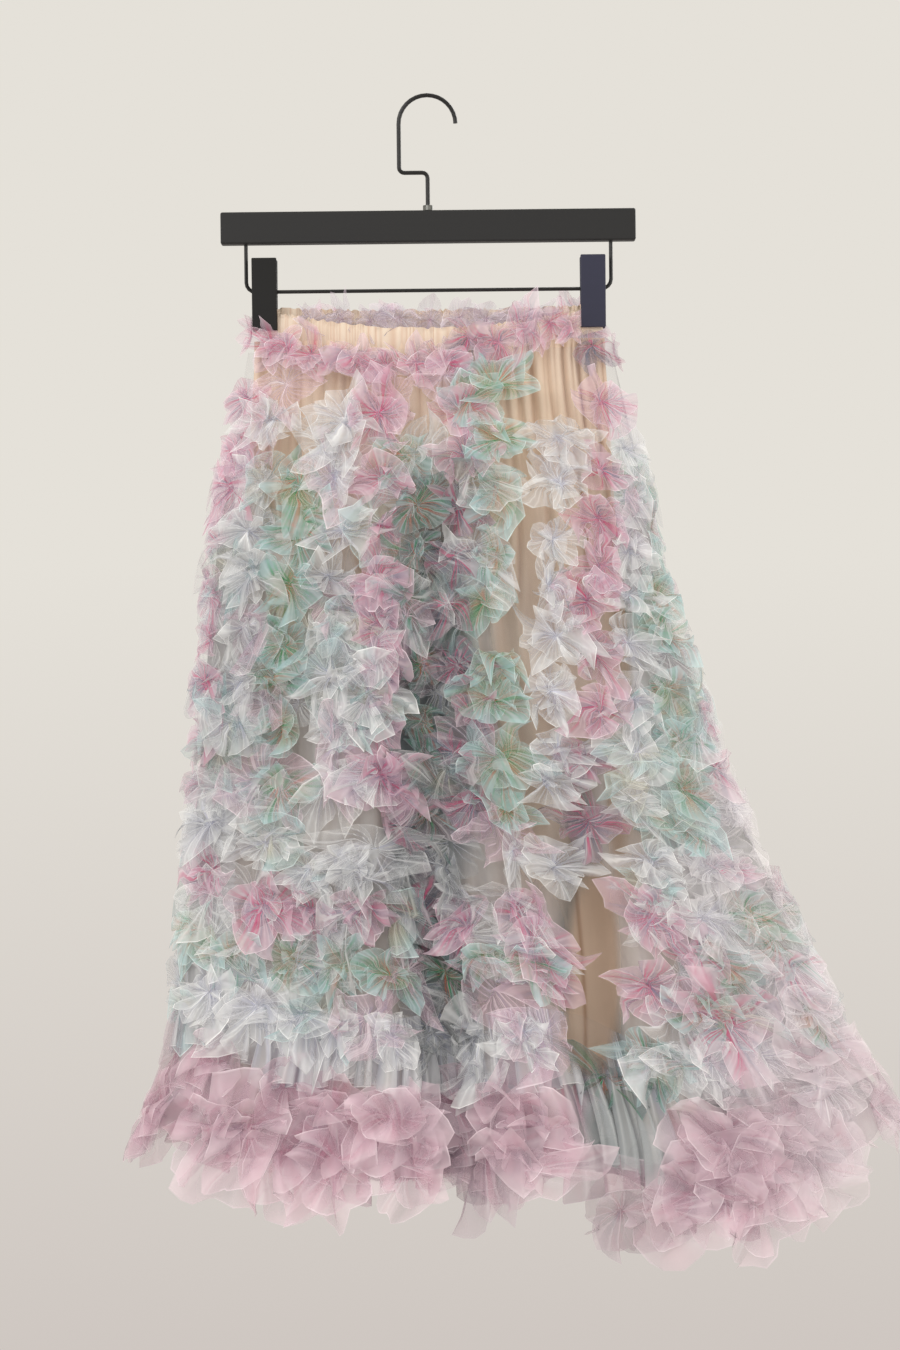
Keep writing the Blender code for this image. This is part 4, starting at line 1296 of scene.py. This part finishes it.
# %% Rosettes listed one by one
Large = namedtuple("Large", "x z radius tulle rise", defaults=(0.8,))
FRONT_LARGE = [
    Large(-0.047, -0.573, 0.040, ROSE), Large(-0.054, -0.500, 0.036, WHITE),
    Large(0.036, -0.260, 0.031, MINT, 0.35), Large(0.177, -0.690, 0.032, ROSE, 0.6),
    Large(0.233, -0.778, 0.046, ROSE, 0.7), Large(0.295, -0.739, 0.036, ROSE),
    Large(0.318, -0.832, 0.034, WHITE), Large(0.311, -0.774, 0.030, MINT),
    Large(0.141, -0.822, 0.030, MINT), Large(0.179, -0.811, 0.030, MINT),
    Large(0.176, -0.746, 0.030, ROSE, 0.6),
    Large(0.080, -0.705, 0.034, ROSE), Large(0.088, -0.736, 0.030, ROSE),
    Large(0.216, -0.692, 0.029, WHITE), Large(0.260, -0.690, 0.031, MINT),
]


def front_turn(x, z):
    """The turn of the front wall at this place."""
    turns = np.linspace(0.01, 0.99, 99)
    return float(np.interp(x, net_wall.sample(turns, np.full(99, z))[0], turns))


def large_rosette(large):
    turn = front_turn(large.x, max(large.z, float(net_wall.levels[-1])))
    return Rosette(turn, large.z, large.radius, large.tulle, (0.1, 0.0), large.rise, 2)


print("set by hand on the front:", len(FRONT_LARGE))

# %% [markdown]
# The loops set the others out down each column and round each tier, with a little unevenness in place
# and size, as they are sewn by hand. None may cover the clear place at the right.

# %% Lay out the rosettes
GAP = [
    WINDOWS[0]._replace(half_x=0.036, half_z=0.096),  # petals keep a little farther off
    WINDOWS[1]._replace(half_x=0.034, half_z=0.040),
    Spot(0.112, -0.640, 0.014, 0.060, 0.80),  # its narrow upper end
]


def loosened(turn, z, radius, tulle, rng, sheets=2):
    """A rosette with the unevenness of hand sewing."""
    tilt = (rng.normal(0.05, 0.32), rng.normal(0, 0.32))
    return Rosette(
        turn + rng.normal(0, 0.008), z + rng.normal(0, 0.005), radius * rng.uniform(0.84, 1.20), tulle,
        tilt, rng.uniform(0.75, 1.25), sheets,
    )


def over_window(rosette, windows):
    """Whether a rosette of the front would cover one of these windows in the net."""
    x = float(net_wall.sample(rosette.turn, rosette.z)[0])
    return rosette.turn % 2 < 1 and float(in_window(x, rosette.z, windows)) > 0.2


def column_rosettes(column, back, rng):
    made = []
    z = COLUMN_TOP - column.first
    while True:
        along = (COLUMN_TOP - z) / (COLUMN_TOP - COLUMN_LOW)
        across = column.across_top + (column.across_low - column.across_top) * along
        turn = float(turn_of(across, back))
        if z < hem_at(turn) + TIERS_FROM:
            return made
        made.append(loosened(turn, z, column.radius, column.tulle, rng))
        z -= column.pitch


def hem_ring(rise):
    """The lengths along the line that runs this far above the hem."""
    return ring_lengths(net_wall, hem_at(RING_TURNS) + rise)


def tier_rosettes(tier, rng):
    ring = hem_ring(tier.rise)
    count = round(ring[-1] / tier.pitch)
    made = []
    for share in (np.arange(count) + rng.uniform(0, 1)) / count:
        turn = float(turn_at(ring, share))
        z = float(hem_at(turn)) + tier.rise + rng.normal(0, 0.004)
        made.append(loosened(turn, z, tier.radius, tier.tulle, rng))
    return made


layout_rng = np.random.default_rng(7)
laid = []
for column in FRONT_COLUMNS:
    laid += column_rosettes(column, False, layout_rng)
for column in BACK_COLUMNS:
    laid += column_rosettes(column, True, layout_rng)
for tier in TIERS:
    laid += tier_rosettes(tier, layout_rng)
laid = [r for r in laid if not over_window(r, GAP)]
laid += [large_rosette(large) for large in FRONT_LARGE]
print("rosettes:", len(laid))

# %% [markdown]
# Between and under the rosettes lie single squares of the same tulles, which are sheerer and fill the
# space with pale edges. They are set out on a jittered grid, and leave the windows in the net open.
# Three rose ones are listed one by one, just under the waist.

# %% Fillers
FILLER_STEP = (0.043, 0.036)  # round the skirt, and down it
FILLER_RADIUS = 0.032
FILLER_TOP = -0.300
FILLER_TULLES = (WHITE, WHITE, WHITE, ROSE, MINT)
UPPER_ROSE = ((-0.118, -0.244), (-0.034, -0.256), (0.012, -0.240))


def fillers(rng):
    made = []
    levels = np.arange(FILLER_TOP, net_hem.min() + 0.1, -FILLER_STEP[1])
    for z in levels:
        ring = ring_lengths(net_wall, z)
        count = round(ring[-1] / FILLER_STEP[0])
        for share in (np.arange(count) + rng.uniform(0, 1)) / count:
            turn = float(turn_at(ring, share + rng.uniform(-0.3, 0.3) / count))
            filler = loosened(turn, z + rng.normal(0, 0.006), FILLER_RADIUS,
                              FILLER_TULLES[rng.integers(len(FILLER_TULLES))], rng, 1)
            if z > hem_at(turn) + 0.11 and not over_window(filler, WINDOWS + GAP):
                made.append(filler)
    return made


filler_laid = fillers(np.random.default_rng(17))
for number, (x, z) in enumerate(UPPER_ROSE):
    filler_laid.append(Rosette(front_turn(x, z), z, 0.028, ROSE, (0.2, 0.3 * (-1) ** number), 0.9, 1))
print("fillers:", len(filler_laid))

# %% [markdown]
# Each colour makes one piece for the front and one for the back, so that a piece has one finish. The
# fillers make two more.

# %% Rosette pieces by colour and side
for colour, tulle, finish in (
    ("rose", ROSE, rose_finish), ("mint", MINT, mint_finish), ("white", WHITE, white_finish),
):
    slot = "rose_petals" if tulle is ROSE else "sheer_petals"
    for side_name, back in SIDES.items():
        chosen = [r for r in on_side(laid, back) if r.tulle is tulle]
        seed = 100 + len(net_pieces)
        sew(rosette_piece(f"{colour}_rosettes_{side_name}", chosen, finish, seed), slot)
for side_name, back in SIDES.items():
    chosen = on_side(filler_laid, back)
    sew(rosette_piece(f"sheer_fillers_{side_name}", chosen, white_finish, 150 + back, 1.0), "sheer_petals")
print("pieces on the net so far:", len(net_pieces))

# %% [markdown]
# Round the hem, strips of tulle are gathered along their top, and their free edge falls in deep, uneven
# ruffles. Between two lobes of the hem, the white strip hangs lower in long grey strands.

# %% The strips
Frill = namedtuple("Frill", "top height pitch out fold uneven cover tulle")
FrillPoints = namedtuple("FrillPoints", "turn x z down swing slow share")
FRILLS = {
    "white_frill": Frill(0.150, 0.060, 0.019, 0.009, 0.006, 0.005, 0.34, WHITE),
    "rose_frill": Frill(0.098, 0.054, 0.036, 0.013, 0.010, 0.010, 0.36, HEM_ROSE),
    "low_rose_frill": Frill(0.056, 0.046, 0.041, 0.013, 0.011, 0.012, 0.38, HEM_ROSE),
}
HEM_GAP = [Spot(0.155, -0.866, 0.036, 0.034, 1.0)]  # long grey strands show between two lobes
HEM_CLEAR = [HEM_GAP[0]._replace(half_x=0.056, half_z=0.044)]  # petals keep farther off
STRAND_DROP = 1.0  # how much longer they are than the frill beside them
STRANDS = np.array(srgb(200, 206, 206)[:3])


def hem_gap_at(turn):
    """How much of the strands hangs at these turns of the front."""
    gap = HEM_GAP[0]
    x = net_wall.sample(turn, np.full_like(turn, gap.z))[0]
    return ease((1.2 - np.abs(x - gap.x) / gap.half_x) / 0.4) * (turn < 1)


print("strips:", {name: f"{frill.height * 1000:.0f} mm" for name, frill in FRILLS.items()})

# %% [markdown]
# Each strip is a tube round the skirt, whose rows of points crowd towards the cut edge, so that its
# bright line stays thin. It is painted darker in its valleys, as shade, and fades out in front of the clear
# place.

# %% Frills
CROWD = 1.7  # above 1, the rows of points crowd towards the cut edge
RAYS_A_METRE = 38  # how closely the fine creases run down a strip


def frill_tint(frill, at):
    """Colour, density and pinch of each point of a frill."""
    tip, body, other, _, _, _, edge = (np.array(c[:3]) for c in frill.tulle[:7])
    valley = ease(0.5 - 0.6 * at.swing)
    rim = ease((at.down - 0.985) / 0.015)
    shade = fold_shade(at.turn, at.z) * 0.5
    light_share = painted_light(at.x, at.z)
    bare = in_window(at.x, at.z, WINDOWS[:2]) * (at.turn < 1)
    grey = in_window(at.x, at.z, HEM_GAP) * (at.turn < 1)
    colour = blend(np.tile(body, (len(valley), 1)), other, ease(0.5 + at.slow))
    colour = blend(colour, tip, (1 - valley) * at.down)
    # Painted shade: the strip and its strands are darker in the valleys of the ruffles, and deep in a fold.
    colour = blend(colour, edge, 0.9 * rim) * (1 - 0.22 * valley - FOLD_SHADE * shade)[:, None]
    # Painted light: the strip is paled towards the right.
    colour = blend(colour, PAINTED_LIGHT_COLOUR, light_share)
    colour = blend(colour, STRANDS * (1 - 0.26 * valley)[:, None], 0.9 * grey)
    cover = np.maximum(frill.cover * (0.8 + 0.3 * valley + 0.3 * at.slow), 0.7 * rim)
    cover *= 1 - bare
    if frill.tulle is HEM_ROSE:
        cover *= 1 - 0.8 * grey
    cover *= 1 - 0.2 * light_share
    return tint_rows(colour, cover), (1 - 0.8 * at.down) * (1 - bare) * (1 - 0.5 * grey)


def frill_piece(name, frill, finish, seed):
    """A strip round the skirt. Its free edge swings in and out and folds over to the sides."""
    ring = hem_ring(frill.top)
    length = ring[-1]

    def place(share, down):
        down = 1 - (1 - down) ** CROWD
        turn = turn_at(ring, share)
        phase = math.tau * (share * round(length / frill.pitch) + wander(share, seed, 0.8))
        slow = np.clip(wander(share, seed + 1, 0.4, 24), -1, 1)
        free = ease(down * 1.2)
        z = hem_at(turn) + frill.top
        if frill.tulle is WHITE:
            slow = slow + STRAND_DROP * 4 * hem_gap_at(turn)
        z = z - down * frill.height * (1 + 0.25 * slow)
        slow = np.clip(slow, -1, 1)
        point, side, _, out = net_wall.frame_at(turn, z)
        swing = np.sin(phase + 1.5 * down + slow)
        lift = 0.003 + frill.out * free * (0.62 + 0.38 * swing + 0.25 * slow)
        sway = frill.fold * free * np.sin(2 * phase + 0.8 + slow)
        point += out * lift[:, None] + side * sway[:, None]
        corners = np.arcsin(np.sin(0.5 * phase + 2.0 * slow)) / (math.pi / 2)  # cut squares, so corners
        point[:, 2] += frill.uneven * free * corners
        point = kept_near(point)
        return point, FrillPoints(turn, point[:, 0], z, down, swing, slow, share)

    piece, at = tube(name, 640, 12, place, finish)
    tints, pinch = frill_tint(frill, at)
    rays = np.column_stack((at.share * length * RAYS_A_METRE, 0 * at.down, 0.3 * at.down + seed))
    keep_look(piece, tints, rays, pinch)
    print(round(length, 3), "m round:")
    return piece


for number, (name, frill) in enumerate(FRILLS.items()):
    white = frill.tulle is WHITE
    piece = frill_piece(name, frill, white_finish if white else hem_finish, 61 + 7 * number)
    sew(piece, "sheer_petals" if white else "rose_petals")

# %% [markdown]
# The hem carries the largest rosettes, in rose tulle: two rows that hang below the net, and ten more
# that are listed one by one on its lobes.

# %% Hem rosettes
HEM_ROWS = [
    Tier(0.076, 0.056, 0.042, HEM_ROSE), Tier(0.034, 0.056, 0.044, HEM_ROSE),
]
HEM_LARGE = [
    Large(-0.155, -0.868, 0.050, HEM_ROSE, 0.6), Large(-0.090, -0.872, 0.048, HEM_ROSE, 0.6),
    Large(-0.038, -0.858, 0.048, HEM_ROSE, 0.6), Large(0.042, -0.874, 0.054, HEM_ROSE, 0.6),
    Large(0.084, -0.864, 0.040, HEM_ROSE), Large(0.146, -0.926, 0.038, HEM_ROSE),
    Large(0.192, -0.922, 0.040, HEM_ROSE), Large(0.252, -0.922, 0.046, HEM_ROSE),
    Large(0.232, -0.866, 0.044, HEM_ROSE), Large(0.300, -0.880, 0.044, HEM_ROSE),
]
hem_rng = np.random.default_rng(31)
hem_laid = [large_rosette(large) for large in HEM_LARGE]
for row in HEM_ROWS:
    hem_laid += [r for r in tier_rosettes(row, hem_rng) if not over_window(r, HEM_CLEAR)]
for side_name, back in SIDES.items():
    piece = rosette_piece(f"hem_rosettes_{side_name}", on_side(hem_laid, back), hem_finish, 200 + back)
    sew(piece, "rose_petals", f"hem_frill_{side_name}")
print("hem rosettes:", len(hem_laid))

# %% [markdown]
# The waist has a row of small rose rosettes along the foot of the casing, and on the right they flip up
# over it. More hang over the back edge into the waist, and show there as a mauve haze.

# %% Waist rosettes
WaistRosette = namedtuple("WaistRosette", "across z radius")
WAIST_FRONT = [
    WaistRosette(-1.00, -0.200, 0.021), WaistRosette(-0.92, -0.206, 0.021),
    WaistRosette(-0.80, -0.213, 0.021), WaistRosette(-0.66, -0.219, 0.021),
    WaistRosette(-0.52, -0.224, 0.022), WaistRosette(-0.37, -0.227, 0.023),
    WaistRosette(-0.23, -0.229, 0.022), WaistRosette(-0.09, -0.229, 0.023),
    WaistRosette(0.07, -0.222, 0.024), WaistRosette(0.22, -0.209, 0.022),
    WaistRosette(0.38, -0.209, 0.025), WaistRosette(0.55, -0.197, 0.022),
    WaistRosette(0.70, -0.192, 0.020), WaistRosette(0.80, -0.196, 0.015),
    WaistRosette(0.90, -0.212, 0.018), WaistRosette(1.12, -0.188, 0.024),
    WaistRosette(1.00, -0.216, 0.019),
]
WAIST_BACK = [WaistRosette(0.18 * i - 0.90, -0.192 - 0.004 * (i % 2), 0.020) for i in range(11)]
INNER_WAIST = [WaistRosette(0.17 * i - 0.68, -0.188 + 0.002 * (i % 2), 0.018) for i in range(9)]
waist_rng = np.random.default_rng(41)


def waist_rosettes(rows, back):
    return [
        Rosette(float(turn_of(r.across, back)), r.z, r.radius, WAIST_ROSE,
                (waist_rng.normal(0, 0.3), waist_rng.normal(0.1, 0.3)), 1.0, 2)
        for r in rows
    ]


for side_name, back in SIDES.items():
    chosen = waist_rosettes(WAIST_BACK if back else WAIST_FRONT, back)
    piece = rosette_piece(f"waist_rosettes_{side_name}", chosen, rose_finish, 300 + back)
    sew(piece, "rose_petals", f"waist_frill_{side_name}")
chosen = [r._replace(tulle=HAZE) for r in waist_rosettes(INNER_WAIST, True)]
sew(rosette_piece("inner_waist_rosettes", chosen, white_finish, 305, 0.6, True), "rose_petals")
print("waist, front, back and inside:", len(WAIST_FRONT), len(WAIST_BACK), len(INNER_WAIST))

# %% [markdown]
# The triangles of all the cloth pieces are counted, and the area of each of the three cloths is printed.

triangles = {p.name: sum(len(f.vertices) - 2 for f in p.data.polygons) for p in
             (casing, lining, net, *net_pieces)}
print("triangles:", sum(triangles.values()), "in all, most in one piece:", max(triangles.values()))
for piece in (casing, lining, net):
    print(piece.name, "area", round(sum(p.area for p in piece.data.polygons), 4), "square metres")

# %% [markdown]
